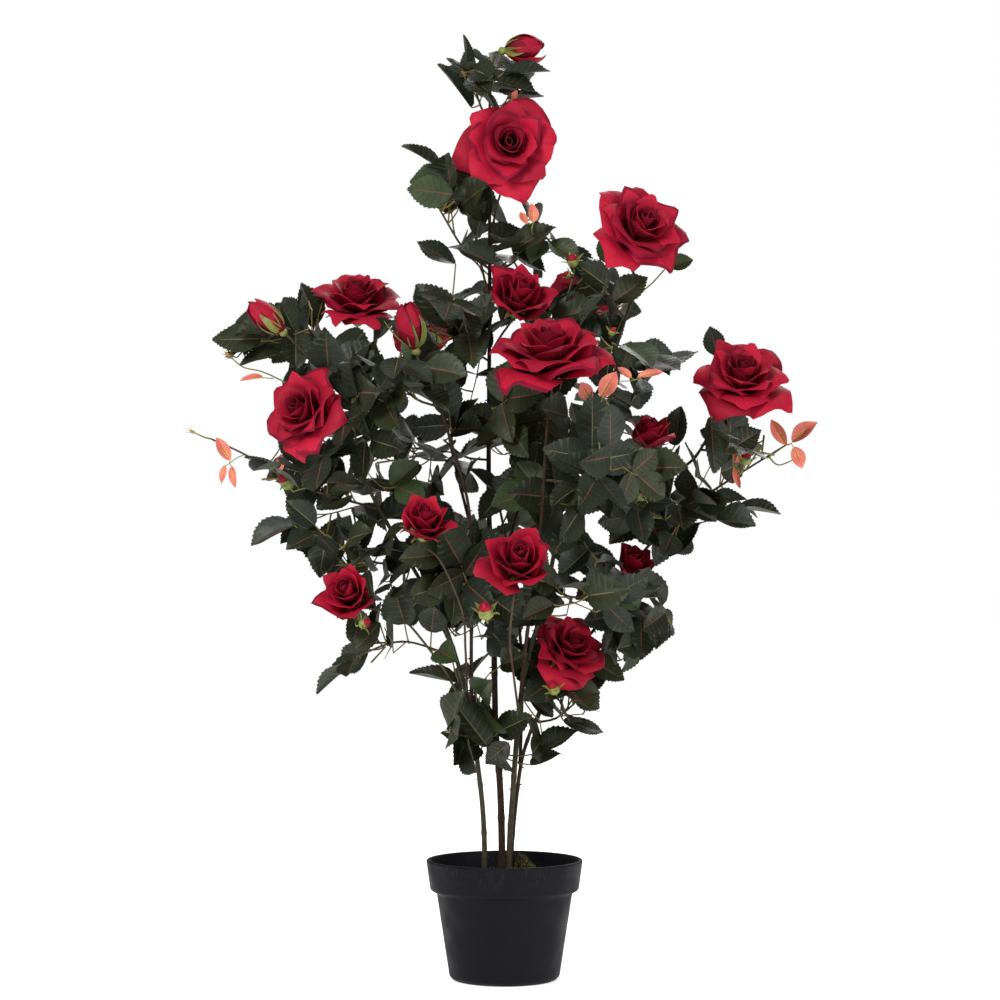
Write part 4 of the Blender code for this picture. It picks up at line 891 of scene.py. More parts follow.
# %% All roses
# name: (two tones, roughness, specular), in the order of the slots
PETAL_TINTS = {
    "bright crimson petal": ((0.43, 0.0075, 0.031), (0.37, 0.0062, 0.026), (0.55, 0.75), 0.16),
    "crimson petal": ((0.33, 0.0058, 0.024), (0.27, 0.0048, 0.020), (0.55, 0.75), 0.16),
    # The dark crimson and the heart finishes are painted shade for the feet of the petals and the heart.
    "painted shade crimson petal": ((0.19, 0.0035, 0.015), (0.14, 0.0028, 0.012), (0.6, 0.8), 0.14),
    "painted shade heart petal": ((0.080, 0.002, 0.008), (0.050, 0.0015, 0.006), (0.6, 0.8), 0.12),
    "burgundy petal rim": ((0.22, 0.0050, 0.024), (0.16, 0.0040, 0.020), (0.6, 0.8), 0.14),
}
petal_finishes = finishes(PETAL_TINTS, grain=2600.0, bump=0.12)
rose_pile = {"roses_front": Pile(), "roses_side": Pile()}
rose_names = {name: [] for name in rose_pile}
for seed, (name, row) in enumerate(BLOOMS.items()):
    group = "roses_front" if seed % 2 == 0 else "roses_side"
    add_rose(rose_pile[group], name, row, seed)
    rose_names[group].append(name)
for group, pile in rose_pile.items():
    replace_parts(pile.mesh_object(group, petal_finishes, "petals"), *rose_names[group])
# %% [markdown]
# ## Stalks, hips and sepals
# Under each bloom sits a swollen hip with five pointed sepals, which hug a closed bud and hang back under
# an open rose. The hip is a tube with a swelling radius, and a sepal is a narrow sheet that leaves the axis
# and curls.

# %% Hips and sepals
STALK_STEP = 6 * MM
# form: (foot, top and radius of the hip for a bloom of radius 1)
HIP = {"open": (-0.80, -0.50, 0.17), "cup": (-1.12, -0.78, 0.22), "bud": (-1.78, -1.20, 0.29)}
HIP_SWELL = np.array([0.45, 0.78, 1.0, 1.0, 0.85, 0.80, 0.95])
SEPALS = 5
SEPAL_THICK = 0.45 * MM
SEPAL_ROWS = 9
SEPAL_COLUMNS = 5
SEPAL_GREEN, SEPAL_TIP, ROSE_STALK, BUD_RED = 0, 1, 2, 3
SEPAL_SLOTS = np.repeat(np.where(np.arange(SEPAL_ROWS - 1) > 5, SEPAL_TIP, SEPAL_GREEN), SEPAL_COLUMNS - 1)
green_pile = Pile()


def stalk_route(row):
    """A bloom's stalk: from its carrier, through its own points, into the hip."""
    form, centre, radius, facing, carrier, points = row
    place, way, size = laid_out(*centre), unit(np.array(facing)), radius * CM
    hip = HIP[form][0] + 0.12
    end = place + way * size * (hip + 0.04)
    neck = place + way * size * (hip - 0.35)
    middle = [laid_out(*point) for point in points]
    route = [middle[0], *middle[1:], neck, end]
    route[0] = seated(limbs[carrier], middle[0], route[1], STALK_RADIUS[1] * MM)
    return smooth_route(route, CANE_STEP)


def sepal_grid(long, wide, lean, curl):
    """A narrow pointed sepal that leaves the axis, as rows from its foot to its tip."""
    v = np.linspace(0, 1, SEPAL_ROWS)[:, None]
    u = np.linspace(-1, 1, SEPAL_COLUMNS)[None]
    angle = lean + curl * v ** 1.3
    step = long * np.diff(v, axis=0, prepend=0)
    out = np.cumsum(np.sin(angle) * step, axis=0)
    up = np.cumsum(np.cos(angle) * step, axis=0)
    half = wide * (np.sin(math.pi * np.clip(v, 0, 1) ** 0.6) ** 0.8 * (1 - 0.35 * v) + 0.06)
    keel = 0.25 * half * np.abs(u) ** 1.5
    return np.stack(np.broadcast_arrays(out + keel, u * half, up - keel * 0.2), axis=-1)


def add_swelling(place, way, size, low, high, swell, slot):
    """Add a swollen round body between two heights over a place, for a bloom of some size."""
    heights = np.linspace(low, high, len(swell))
    add_tube(green_pile, place + heights[:, None] * way * size, swell * size, 12, slot)


def add_calyx(form, place, way, size, seed):
    """The swollen hip under a bloom and its five sepals."""
    rng = Random(seed + 500)
    low, high, wide = HIP[form]
    add_swelling(place, way, size, low, high, HIP_SWELL * wide, SEPAL_GREEN)
    turn = turned_to(way, rng.uniform(0, 6))
    for sepal in range(SEPALS):
        if form == "bud":
            curl = rng.uniform(-1.40, -1.20) if sepal else -0.35
            grid = sepal_grid(2.2 * size * rng.uniform(0.9, 1.15), 0.34 * size, 0.80, curl)
            foot = np.array([0.20 * size, 0, (high - 0.12) * size])
        else:
            long = 0.72 * size * rng.uniform(0.8, 1.15)
            grid = sepal_grid(long, 0.11 * size, 1.1, rng.uniform(0.1, 1.1))
            foot = np.array([0.10 * size, 0, (high - 0.02) * size])
        spin = spun(sepal * 2 * math.pi / SEPALS + rng.gauss(0, 0.12))
        add_sheet(green_pile, (grid + foot) @ (turn @ spin).T + place, SEPAL_THICK, SEPAL_SLOTS)


for seed, (name, row) in enumerate(BLOOMS.items()):
    form, centre, radius, facing, _, _ = row
    place, way, size = laid_out(*centre), unit(np.array(facing)), radius * CM
    fine = smooth_route(stalk_route(row), STALK_STEP)
    add_tube(green_pile, fine, np.linspace(STALK_RADIUS[1], STALK_RADIUS[0], len(fine)) * MM, 8, ROSE_STALK)
    add_calyx(form, place, way, size, seed)
green_finishes = [
    finish("yellow green sepal", (0.20, 0.23, 0.045), (0.15, 0.18, 0.035), (0.45, 0.65)),
    finish("brown sepal tip", (0.22, 0.11, 0.04), (0.16, 0.07, 0.03), (0.5, 0.7)),
    finish("brown rose stalk", (0.070, 0.046, 0.022), (0.040, 0.024, 0.015), (0.45, 0.6), specular=0.3),
    finish("small bud crimson", (0.30, 0.0045, 0.018), (0.20, 0.0035, 0.013), (0.5, 0.7), specular=0.2)]
print("stalks, hips and sepals, triangles so far", green_pile.triangles())

# %% [markdown]
# ## How the foliage grows
# Cloth foliage is made in sprays: a stem with side twigs, and compound leaves of three leaflets on them. A
# particle system would put leaves through canes and roses. So each spray grows by a rule that tries a leaf
# in many ways and keeps the best place that is clear of the rest, inside the crown's outline and out of the
# gaps where the sky shows.

# %% Sizes of leaves and twigs
LEAF_LENGTH = 0.058
LEAF_WIDTH = 0.041
LEAF_WIDE_AT = 0.50
LEAF_FOLD = 3.0 * MM
LEAF_SUNK = 0.5 * MM
SHRUNK = 3.0 * MM
LEAF_STALK = 0.028
LEAF_STALK_RADIUS = (0.6 * MM, 0.9 * MM)
LEAF_SPACING = 0.030
SIDE_LEAF_AT = 0.60
SIDE_LEAF_SHARE = 0.90
SIDE_LEAF_ANGLE = math.radians(76)
TWIG_RADIUS = (1.8, 1.3)
SIDE_TWIG_RADIUS = (0.9, 1.3)
TWIG_STEP = 0.06
TWIG_BOW = 0.12
# Leaves turn outwards, and those in front turn more towards the front
OUTWARD_SHIFT = 0.02
FRONT_BIAS = 0.25
FRONT_DEPTH = 0.10
SHOWN_BIAS = 0.60
EVENNESS = 3.0
LEAF_TRIES = 24
TWIG_TRIES = 16
LIMB_CLEARANCE = 3 * MM
TWIG_CLEARANCE = 1.5 * MM
BLADE_CLEARANCE = 0.6 * MM
SPACE_OVERLAP = 3 * CM
BLOOM_FLATNESS = 0.60
MOST_PIECES = 6000
NEAR = LEAF_LENGTH * 1.9

# %% The sprays and the crown's outline
# name: (what carries it, stem route in cm, reach in cm, side twigs, compound leaves)
MASSES = {
    "top_spray": ("centre_cane", [(-1.7, 98.5, 0), (-3.4, 102.0, -1)], 10, 2, 5),
    "upper_left_spray": ("centre_cane", [(-1.8, 81.4, 1), (-7.4, 88.0, -4)], 10, 2, 7),
    "upper_right_spray": ("centre_cane", [(-1.7, 80.8, 1), (3.6, 85.0, -2)], 10, 2, 5),
    "right_shoulder": ("right_cane", [(13.9, 75.7, -6), (10.6, 81.4, -7)], 10, 2, 6),
    "right_upper": ("right_cane", [(11.9, 69.6, -5), (18.2, 70.4, -7)], 10, 2, 6),
    "right_rose_leaves": ("right_bough", [(22.4, 60.6, 0), (26.0, 61.4, -2)], 10, 2, 6),
    "far_right_twig": ("far_right_bough", [(22.1, 54.7, 4), (26.4, 57.5, 4), (32.4, 61.2, 4)], 8, 2, 6),
    "right_middle": ("right_bough", [(16.2, 57.4, -1), (20.6, 54.2, -2)], 10, 2, 7),
    "right_low": ("far_right_bough", [(13.4, 44.9, 6), (15.6, 43.0, 2)], 10, 2, 7),
    "low_right_spray": ("rear_cane", [(3.5, 29.6, 2), (8.0, 31.5, 0)], 10, 2, 7),
    "foot_leaves": ("centre_cane", [(-0.7, 26.0, 0), (-3.6, 29.3, -4)], 10, 2, 6),
    "low_left_spray": ("left_cane", [(-5.9, 37.1, -4.5), (-11.8, 38.6, -9), (-17.2, 36.8, -10)],
        9, 2, 5),
    "left_low": ("left_cane", [(-11.0, 47.9, -7), (-17.7, 49.0, -7)], 10, 3, 7),
    "far_left_twig": ("left_cane", [(-14.5, 54.0, -8.5), (-22.7, 56.2, -8), (-29.7, 60.0, -7),
        (-33.6, 61.8, -6)], 7, 2, 6),
    "left_middle": ("left_cane", [(-16.7, 59.2, -9.5), (-17.5, 66.2, -13)], 10, 2, 7),
    "left_bud_leaves": ("upper_left_bough", [(-15.2, 71.1, 3), (-22.4, 73.1, 0)], 10, 2, 8),
    "upper_left_middle": ("bud_bough", [(-7.4, 65.7, -11.5), (-12.5, 68.6, -13)], 10, 2, 7),
    "centre_left_upper": ("centre_cane", [(-1.8, 70.8, 1), (-6.2, 76.0, -5)], 10, 2, 6),
    "centre_left": ("centre_cane", [(-1.8, 59.4, 1), (-7.0, 61.7, -3)], 10, 2, 7),
    "centre": ("centre_cane", [(-1.8, 60.8, 1), (2.3, 64.8, -6)], 10, 2, 6),
    "centre_right": ("rose_bough", [(4.5, 57.1, -13.5), (10.5, 58.2, -13)], 10, 2, 7),
    "centre_low_left": ("centre_cane", [(-1.4, 44.5, 0.6), (-6.2, 46.1, -8)], 10, 3, 7),
    "centre_low_right": ("right_cane", [(5.0, 45.1, -5), (10.0, 44.0, -10)], 10, 3, 7),
    "back_upper": ("centre_cane", [(-1.7, 74.3, 1), (-1.1, 83.0, 11)], 10, 3, 6),
    "back_left": ("back_left_bough", [(-5.7, 59.4, 14.5), (-12.4, 61.7, 18)], 12, 3, 7),
    "back_right": ("back_right_bough", [(4.8, 63.0, 15.6), (11.6, 62.0, 18)], 12, 3, 7),
    "back_low": ("back_low_bough", [(0.0, 51.0, 18.8), (-2.0, 48.9, 25)], 12, 3, 7),
}
# The crown's outline as seen from the front: (height, left edge, right edge) in cm
OUTLINE = [
    (23.3, -4.9, 3.5), (24.4, -6.6, 4.6), (25.6, -6.7, 6.6), (27.9, -7.0, 9.0), (29.4, -6.5, 11.4),
    (31.3, -6.5, 10.7), (33.1, -7.8, 11.6), (34.7, -22.0, 13.2), (36.0, -21.8, 15.5), (37.6, -20.4, 17.8),
    (39.3, -18.8, 19.3), (41.1, -20.0, 19.5), (43.4, -21.6, 19.4), (45.1, -21.3, 19.2),
    (46.8, -22.3, 19.2), (48.5, -22.9, 21.2), (49.3, -29.1, 22.0), (50.8, -29.4, 22.4),
    (52.5, -28.6, 32.7), (53.9, -25.7, 32.0), (54.8, -25.2, 29.8), (56.5, -27.8, 27.5),
    (58.2, -28.6, 29.2), (60.0, -30.5, 31.0), (61.7, -27.8, 30.4), (63.4, -27.1, 29.8),
    (65.7, -27.8, 27.2), (68.0, -27.5, 22.4), (68.8, -30.3, 22.4), (71.4, -33.5, 22.4),
    (72.5, -33.5, 24.7), (74.3, -33.5, 25.6), (75.2, -32.1, 24.2), (77.1, -30.3, 15.5),
    (78.8, -30.0, 16.7), (80.0, -27.8, 15.5), (80.9, -22.3, 13.4), (82.0, -11.0, 12.3),
    (83.4, -10.6, 10.9), (84.6, -10.6, 6.4), (86.3, -7.4, 5.6), (87.8, -8.8, 3.6), (89.1, -11.0, 2.2),
    (91.4, -11.4, 1.8), (93.7, -9.1, -0.5), (95.4, -11.6, -0.5), (97.4, -7.4, -0.5), (99.4, -7.4, 4.6),
    (101.2, -7.4, 4.6), (102.9, -7.7, 5.4), (104.6, -7.4, 5.4), (107.5, -4.9, 1.8), (108.4, -4.9, 1.8),
]
# Gaps in the crown that stay open to the sky: (across, height, radius) in cm, as seen from the front
SKY = [
    (17.7, 75.2, 2.6), (7.6, 89.5, 3.0), (-30.0, 65.2, 2.2), (20.7, 67.7, 1.6), (-28.9, 55.0, 2.2),
    (-5.9, 80.2, 1.4), (-11.6, 80.8, 1.3), (-8.2, 32.8, 1.5), (-7.5, 95.8, 1.3), (-8.5, 58.7, 1.2),
    (29.1, 64.1, 1.0), (-18.9, 74.0, 1.0), (-13.2, 72.9, 1.0), (-3.6, 68.0, 0.9), (-8.9, 36.3, 1.0),
    (9.8, 85.5, 1.0), (11.0, 50.3, 1.0), (-0.4, 58.9, 0.9), (-6.0, 55.8, 1.0), (-9.9, 65.2, 0.9),
    (0.2, 33.1, 1.0), (-14.3, 31.0, 3.0), (-25.5, 69.5, 0.9), (-6.2, 106.9, 1.0), (-6.5, 100.6, 0.8),
    (-10.2, 93.5, 0.8), (-8.3, 86.4, 1.4), (-5.6, 86.4, 1.3), (0.1, 87.8, 0.8), (4.9, 88.0, 1.4),
    (8.1, 86.6, 1.7), (5.9, 80.9, 1.1), (-9.1, 81.8, 0.9), (-3.4, 80.8, 0.8), (-4.8, 79.1, 0.8),
    (-13.3, 71.3, 0.8), (-7.2, 73.0, 0.7), (-27.4, 61.7, 1.9), (-30.3, 61.7, 1.0), (-25.9, 55.1, 0.9),
    (23.8, 76.3, 1.4), (18.0, 68.0, 1.4), (30.4, 64.0, 1.9), (33.4, 65.1, 1.5), (28.3, 63.5, 0.9),
    (31.0, 57.1, 1.9), (28.3, 57.5, 1.0), (-19.4, 39.9, 1.7), (-20.0, 37.1, 1.3), (-14.8, 34.5, 1.5),
    (-11.7, 36.8, 0.9), (0.3, 31.9, 0.9), (8.6, 27.0, 0.9), (12.4, 31.9, 1.4), (16.1, 35.1, 1.5),
    (20.1, 46.2, 0.8), (-22.3, 45.4, 0.8), (-11.4, 81.7, 1.1), (21.2, 73.3, 0.9), (-33.1, 64.5, 1.4),
    (24.7, 50.2, 1.6), (17.2, 72.5, 0.6), (-7.7, 81.0, 1.4), (-2.2, 107.4, 1.2), (-26.4, 78.8, 1.3),
    (15.6, 73.8, 1.6), (27.2, 55.6, 0.8), (17.6, 66.1, 0.9), (24.0, 57.3, 0.9), (0.6, 87.2, 0.9),
    (6.1, 79.8, 0.9), (-4.9, 85.4, 1.0), (-4.9, 53.9, 0.9), (-8.2, 38.6, 1.1), (-10.5, 38.8, 1.1),
    (-20.9, 52.9, 0.8), (-5.6, 100.3, 0.8), (6.5, 28.9, 0.6),
]
# The share of a rose's radius that no leaf may hide from the front; the others keep the first share
WHOLE_SIGHT = 0.95
SIGHT_SHARE = {"dim_rose": 0.45, "half_open_rose": 0.85, "centre_rose": 0.85}
print("sprays", len(MASSES), "open gaps", len(SKY))

# %% [markdown]
# ## What a new leaf may touch
# Whether two thin pieces cut each other is a question for a search tree of their faces, which Blender
# answers fast. A leaflet is tested as a folded blade of four faces, a twig as a stick with three sides, and
# only pieces near each other are compared.

# %% Search trees


def faces_of(mesh):
    return [vert.co for vert in mesh.vertices], [face.vertices for face in mesh.polygons]


def blade_tree(blades):
    """A search tree of leaflets, each a thin folded blade of four faces."""
    points, faces = [], []
    for base, direction, normal, length, width in blades:
        side = np.cross(normal, direction)
        root = base + direction * SHRUNK
        grown = BLADE_CLEARANCE
        wide = root + direction * LEAF_WIDE_AT * (length - SHRUNK) + normal * LEAF_FOLD
        first = len(points)
        points += [root - normal * grown, root + direction * (length - SHRUNK + grown) - normal * grown,
                   wide + side * (width / 2 + grown), wide - side * (width / 2 + grown)]
        for corners in ((0, 1, 2), (0, 3, 1), (0, 2, 3), (1, 3, 2)):
            faces.append(tuple(first + corner for corner in corners))
    return BVHTree.FromPolygons([Vector(point) for point in points], faces)


def rod_tree(start, end, radius):
    """A search tree of a straight stick with three sides."""
    turn = turned_to(end - start)
    ring = [turn @ np.array([math.cos(angle), math.sin(angle), 0]) * radius for angle in (0, 2.094, 4.189)]
    points = [Vector(start + spot) for spot in ring] + [Vector(end + spot) for spot in ring]
    faces = [(0, 1, 4, 3), (1, 2, 5, 4), (2, 0, 3, 5), (0, 2, 1), (3, 4, 5)]
    return BVHTree.FromPolygons(points, faces)


# %% The crown


class Crown:
    """What the foliage keeps clear of, and the space of each spray."""

    def __init__(self, carriers, stems, solids):
        pieces = []
        for route, radii in carriers:
            count = len(route) - 1
            for index in range(count):
                radius = (radii[0] + (radii[1] - radii[0]) * index / count) * MM
                pieces.append((route[index], route[index + 1], radius))
        self.starts, self.ends, self.thick = (np.array(kind) for kind in zip(*pieces))
        self.names = list(stems)
        counts = [len(line) - 1 for line in stems.values()]
        self.owners = np.repeat(np.arange(len(counts)), counts)
        self.line_starts = np.concatenate([line[:-1] for line in stems.values()])
        self.line_ends = np.concatenate([line[1:] for line in stems.values()])
        self.blooms, self.open_sights = [], []
        for name, (form, centre, radius, facing, _, _) in BLOOMS.items():
            place, way = laid_out(*centre), unit(np.array(facing))
            self.blooms.append((place, way, radius * CM, form))
            if facing[1] < 0:
                steps = (-1.2, -0.4, 0.4, 1.2) if form == "bud" else (0,)
                circles = [seen_at((place + way * step * radius * CM)[None])[0] for step in steps]
                size = SIGHT_SHARE.get(name, WHOLE_SIGHT) * radius * CM
                self.open_sights.append((place[1], circles, size))
        self.solids = solids
        self.placed = []
        self.used = set()
        self.spots = np.zeros((MOST_PIECES, 4))
        self.middles = []

    def clear_of_limbs(self, points, clearance):
        return (distance_to(points, self.starts, self.ends) - self.thick).min() > clearance

    def clear_of_blooms(self, points):
        for place, way, size, form in self.blooms:
            along_axis = (points - place) @ way
            around = norm(points - place - along_axis[:, None] * way, axis=1)
            if form == "bud":
                inside = (around / (1.5 * size)) ** 2 + (along_axis / (2.1 * size)) ** 2 < 1
            else:
                middle = along_axis + 0.18 * size
                inside = (around / (1.15 * size)) ** 2 + (middle / (BLOOM_FLATNESS * size)) ** 2 < 1
            if inside.any():
                return False
        return True

    def hides_a_rose(self, points):
        """Whether points stand in front of a rose that is seen whole from the front."""
        seen = seen_at(points)
        for depth, circles, size in self.open_sights:
            if points[:, 1].min() < depth:
                for circle in circles:
                    if (np.hypot(*(seen - circle).T) < size).any():
                        return True
        return False

    def in_space(self, name, points, reach):
        away = distance_to(points, self.line_starts, self.line_ends)
        mine = self.owners == self.names.index(name)
        own = away[:, mine].min(axis=1)
        other = away[:, ~mine].min(axis=1)
        return (own < reach).all() and (own < other + SPACE_OVERLAP).all()

    def in_outline(self, points):
        across, height = seen_at(points).T
        heights, lefts, rights = np.array(OUTLINE).T * CM
        if (across < np.interp(height, heights, lefts)).any():
            return False
        if (across > np.interp(height, heights, rights)).any():
            return False
        if (height < heights[0]).any() or (height > heights[-1]).any():
            return False
        for gap_across, gap_height, radius in SKY:
            if (np.hypot(across - gap_across * CM, height - gap_height * CM) < radius * CM).any():
                return False
        return True

    def touches(self, tree, middle, besides=()):
        """Whether a piece cuts any limb, bloom, twig or leaf, apart from those with one of some labels."""
        for solid, low, high in self.solids:
            if (middle > low - NEAR).all() and (middle < high + NEAR).all() and tree.overlap(solid):
                return True
        spots = self.spots[:len(self.placed)]
        away = norm(spots[:, :3] - middle, axis=1) - spots[:, 3]
        for index in np.nonzero(away < NEAR)[0]:
            other, labels = self.placed[index]
            if not any(label in besides for label in labels) and tree.overlap(other):
                return True
        return False

    def place(self, tree, points, *labels):
        """Keep a piece that others must not touch; its labels are its spray and its own twig."""
        middle = points.mean(axis=0)
        self.spots[len(self.placed)] = (*middle, norm(points - middle, axis=1).max())
        self.placed.append((tree, labels))


# %% [markdown]
# ## One compound leaf, one twig
# A compound leaf has a stalk with one leaflet at its end and two at its sides, all facing outwards and a
# little up, and more to the front where the bush is seen. Twigs leave their stem by the golden angle, as on
# a real cane, and the first free way is taken.

# %% Compound leaves and twigs


def blade_points(base, direction, normal, length, width):
    """Points spread over a leaflet, to test what it touches."""
    side = np.cross(normal, direction)
    points = []
    for share, spread in ((0.08, 0), (0.25, 0.35), (0.45, 0.5), (0.7, 0.35), (0.97, 0)):
        middle = base + direction * share * length
        points.append(middle)
        for part in (0.5, 1.0):
            if spread:
                points.append(middle + side * width * spread * part)
                points.append(middle - side * width * spread * part)
    return np.array(points)


def straight_points(start, end, count=4):
    return np.array([start + (end - start) * k / count for k in range(1, count + 1)])


def compound_leaf(rng, place, way, size):
    """The stalk's end and the leaflets of one compound leaf that leaves a twig in a given way."""
    outward = unit(np.array([place[0], place[1] - OUTWARD_SHIFT, 0.02]))
    droop = unit(way + np.array([0, 0, -0.2 - 0.2 * rng.random()]))
    end = place + way * LEAF_STALK * size
    front = min(max((FRONT_DEPTH - place[1]) / FRONT_DEPTH, 0), 1)
    spread = np.array([rng.gauss(0, 0.3), rng.gauss(-FRONT_BIAS - SHOWN_BIAS * front, 0.3),
                       rng.gauss(0.5 - 0.3 * front, 0.25)])
    face = outward * (0.7 - 0.2 * front) + spread
    normal = unit(face - droop * face.dot(droop))
    length = LEAF_LENGTH * size * rng.uniform(0.92, 1.08)
    width = LEAF_WIDTH * size * rng.uniform(0.9, 1.05)
    blades = [(end - way * LEAF_SUNK, droop, normal, length, width)]
    for sign in (-1, 1):
        knee = place + (end - place) * (SIDE_LEAF_AT + 0.03 * sign)
        aim = turned_about(normal, sign * (SIDE_LEAF_ANGLE + rng.uniform(-0.15, 0.15)), droop)
        blades.append((knee, aim, normal, length * SIDE_LEAF_SHARE, width * SIDE_LEAF_SHARE))
    return end, blades


def grow_twigs(name, reach, carriers, crown, rng, count, radii, share_of_reach=(0.4, 0.65)):
    """Side twigs from one carrier twig after another, each in the first of a few ways that is free."""
    twigs = []
    for index in range(count):
        stem, _, stem_label = carriers[index % len(carriers)]
        start, way = along(stem, 0.5 + 0.4 * (index + rng.random() * 0.5) / count)
        across = unit(np.cross(way, np.array([0.3, 0.2, 0.9])))
        for attempt in range(TWIG_TRIES):
            out = turned_about(way, index * GOLDEN_ANGLE + attempt * 0.9 + rng.random(), across)
            aim = unit(way * 0.7 + out + np.array([0, 0, 0.35]))
            tip = start + aim * reach * CM * rng.uniform(*share_of_reach)
            spots = straight_points(start, tip)
            thick = radii[1] * MM + TWIG_CLEARANCE
            whole = rod_tree(start, tip, thick)
            outer = rod_tree(start + aim * 3 * TWIG_CLEARANCE, tip, thick)
            if crown.in_space(name, spots, reach * CM) and crown.clear_of_limbs(spots[1:], LIMB_CLEARANCE) \
                    and crown.clear_of_blooms(spots) and crown.in_outline(spots) \
                    and not crown.touches(whole, (start + tip) / 2, [name]) \
                    and not crown.touches(outer, (start + tip) / 2, [stem_label]):
                label = f"{name} {len(carriers)}.{index}"
                twigs.append((np.array([start, tip]), radii, label))
                crown.place(rod_tree(start, tip, radii[1] * MM), np.array([start, tip]), name, label)
                break
    return twigs


# %% [markdown]
# ## The best of many tries
# A leaf that just fits leaves bare spots elsewhere. Each try is therefore scored: more leaflets are better,
# and so are leaflets that are seen further from all others, which spreads the foliage evenly.

# %% Leaves on twigs


def leaf_nodes(twigs, rng):
    """Where leaves leave the twigs: the tips first, then the other nodes in a shuffled order."""
    nodes = []
    for route, _, label in twigs:
        length = norm(np.diff(route, axis=0), axis=1).sum()
        count = max(1, round(length / LEAF_SPACING))
        nodes.extend((route, (step + 1) / count, label) for step in range(count))
    rng.shuffle(nodes)
    nodes.sort(key=lambda node: node[1] < 0.99)
    return nodes


def grow_leaves(name, reach, leaf_count, twigs, crown, rng, sizes=(0.86, 1.08), least=1):
    """Compound leaves on a spray's twigs, each the best of many tries that touch nothing."""
    nodes = leaf_nodes(twigs, rng)
    leaves = []
    for number, (route, share, label) in enumerate(nodes * 2):
        if len(leaves) >= leaf_count:
            break
        place, way = along(route, share * (0.97 if number < len(nodes) else 0.8))
        across = unit(np.cross(way, np.array([0.1, 0.3, 0.9])))
        best = None
        for attempt in range(LEAF_TRIES):
            out = turned_about(way, attempt * GOLDEN_ANGLE + rng.random(), across)
            aim = unit(way * rng.uniform(0.2, 0.9) + out + np.array([0, 0, 0.1]))
            end, blades = compound_leaf(rng, place, aim, rng.uniform(*sizes))
            stalk = straight_points(place, end)
            if not crown.in_space(name, stalk, reach * CM) or not crown.clear_of_blooms(stalk) \
                    or not crown.clear_of_limbs(stalk, TWIG_CLEARANCE):
                continue
            past_foot = place + aim * 4 * TWIG_CLEARANCE
            if crown.touches(rod_tree(place, end, TWIG_CLEARANCE), end, [name]) \
                    or crown.touches(rod_tree(past_foot, end, TWIG_CLEARANCE), end, [label]):
                continue
            kept = []
            for blade in blades:
                spots = blade_points(*blade)
                if crown.in_space(name, spots, reach * CM) and crown.clear_of_limbs(spots, LIMB_CLEARANCE) \
                        and crown.clear_of_blooms(spots) and crown.in_outline(spots) \
                        and not crown.hides_a_rose(spots) \
                        and not crown.touches(blade_tree([blade]), spots.mean(axis=0)):
                    kept.append(blade)
            if len(kept) < least or kept[0] is not blades[0]:
                continue
            middles = [blade[0] + blade[1] * blade[3] / 2 for blade in kept]
            seen = seen_at(np.array(middles))
            apart = [LEAF_LENGTH * 1.5]
            if crown.middles:
                apart = norm(seen[:, None] - seen_at(np.array(crown.middles)), axis=2).min(axis=1)
            score = len(kept) + EVENNESS * min(np.mean(apart) / LEAF_LENGTH, 1.0)
            if best is None or score > best[0]:
                best = (score, place, end, kept, middles)
        if best is not None:
            _, place, end, kept, middles = best
            leaves.append((place, end, kept))
            crown.used.add(label)
            crown.middles.extend(middles)
            spots = np.concatenate([blade_points(*blade) for blade in kept])
            crown.place(blade_tree(kept), spots, name)
            crown.place(rod_tree(place, end, LEAF_STALK_RADIUS[1]), np.array([place, end]), name)
    return leaves


def mass_stem(row):
    carrier, points, *_ = row
    places = [laid_out(*point) for point in points]
    places[0] = seated(limbs[carrier], places[0], places[1], TWIG_RADIUS[0] * MM)
    if len(places) == 2:
        span = places[1] - places[0]
        places.insert(1, places[0] + span / 2 + np.array([0, 0, -TWIG_BOW * norm(span)]))
    return smooth_route(places, TWIG_STEP)


# %% Stems and what the foliage keeps clear of
grow_start = time.time()
solids = []
for name in list(limbs) + ["pot", "filling"] + list(BLOOMS):
    low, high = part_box(name)
    solid_tree = BVHTree.FromPolygons(*faces_of(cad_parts[name].data))
    solids.append((solid_tree, np.array(low), np.array(high)))
stems = {name: mass_stem(row) for name, row in MASSES.items()}
stalks = [(stalk_route(row), STALK_RADIUS) for row in BLOOMS.values()]
crown = Crown(list(limbs.values()) + stalks, stems, solids)
for name, stem in stems.items():
    for start, end in zip(stem, stem[1:]):
        crown.place(rod_tree(start, end, TWIG_RADIUS[0] * MM), np.array([start, end]), name, name + " stem")
print("solids to keep clear of", len(solids))
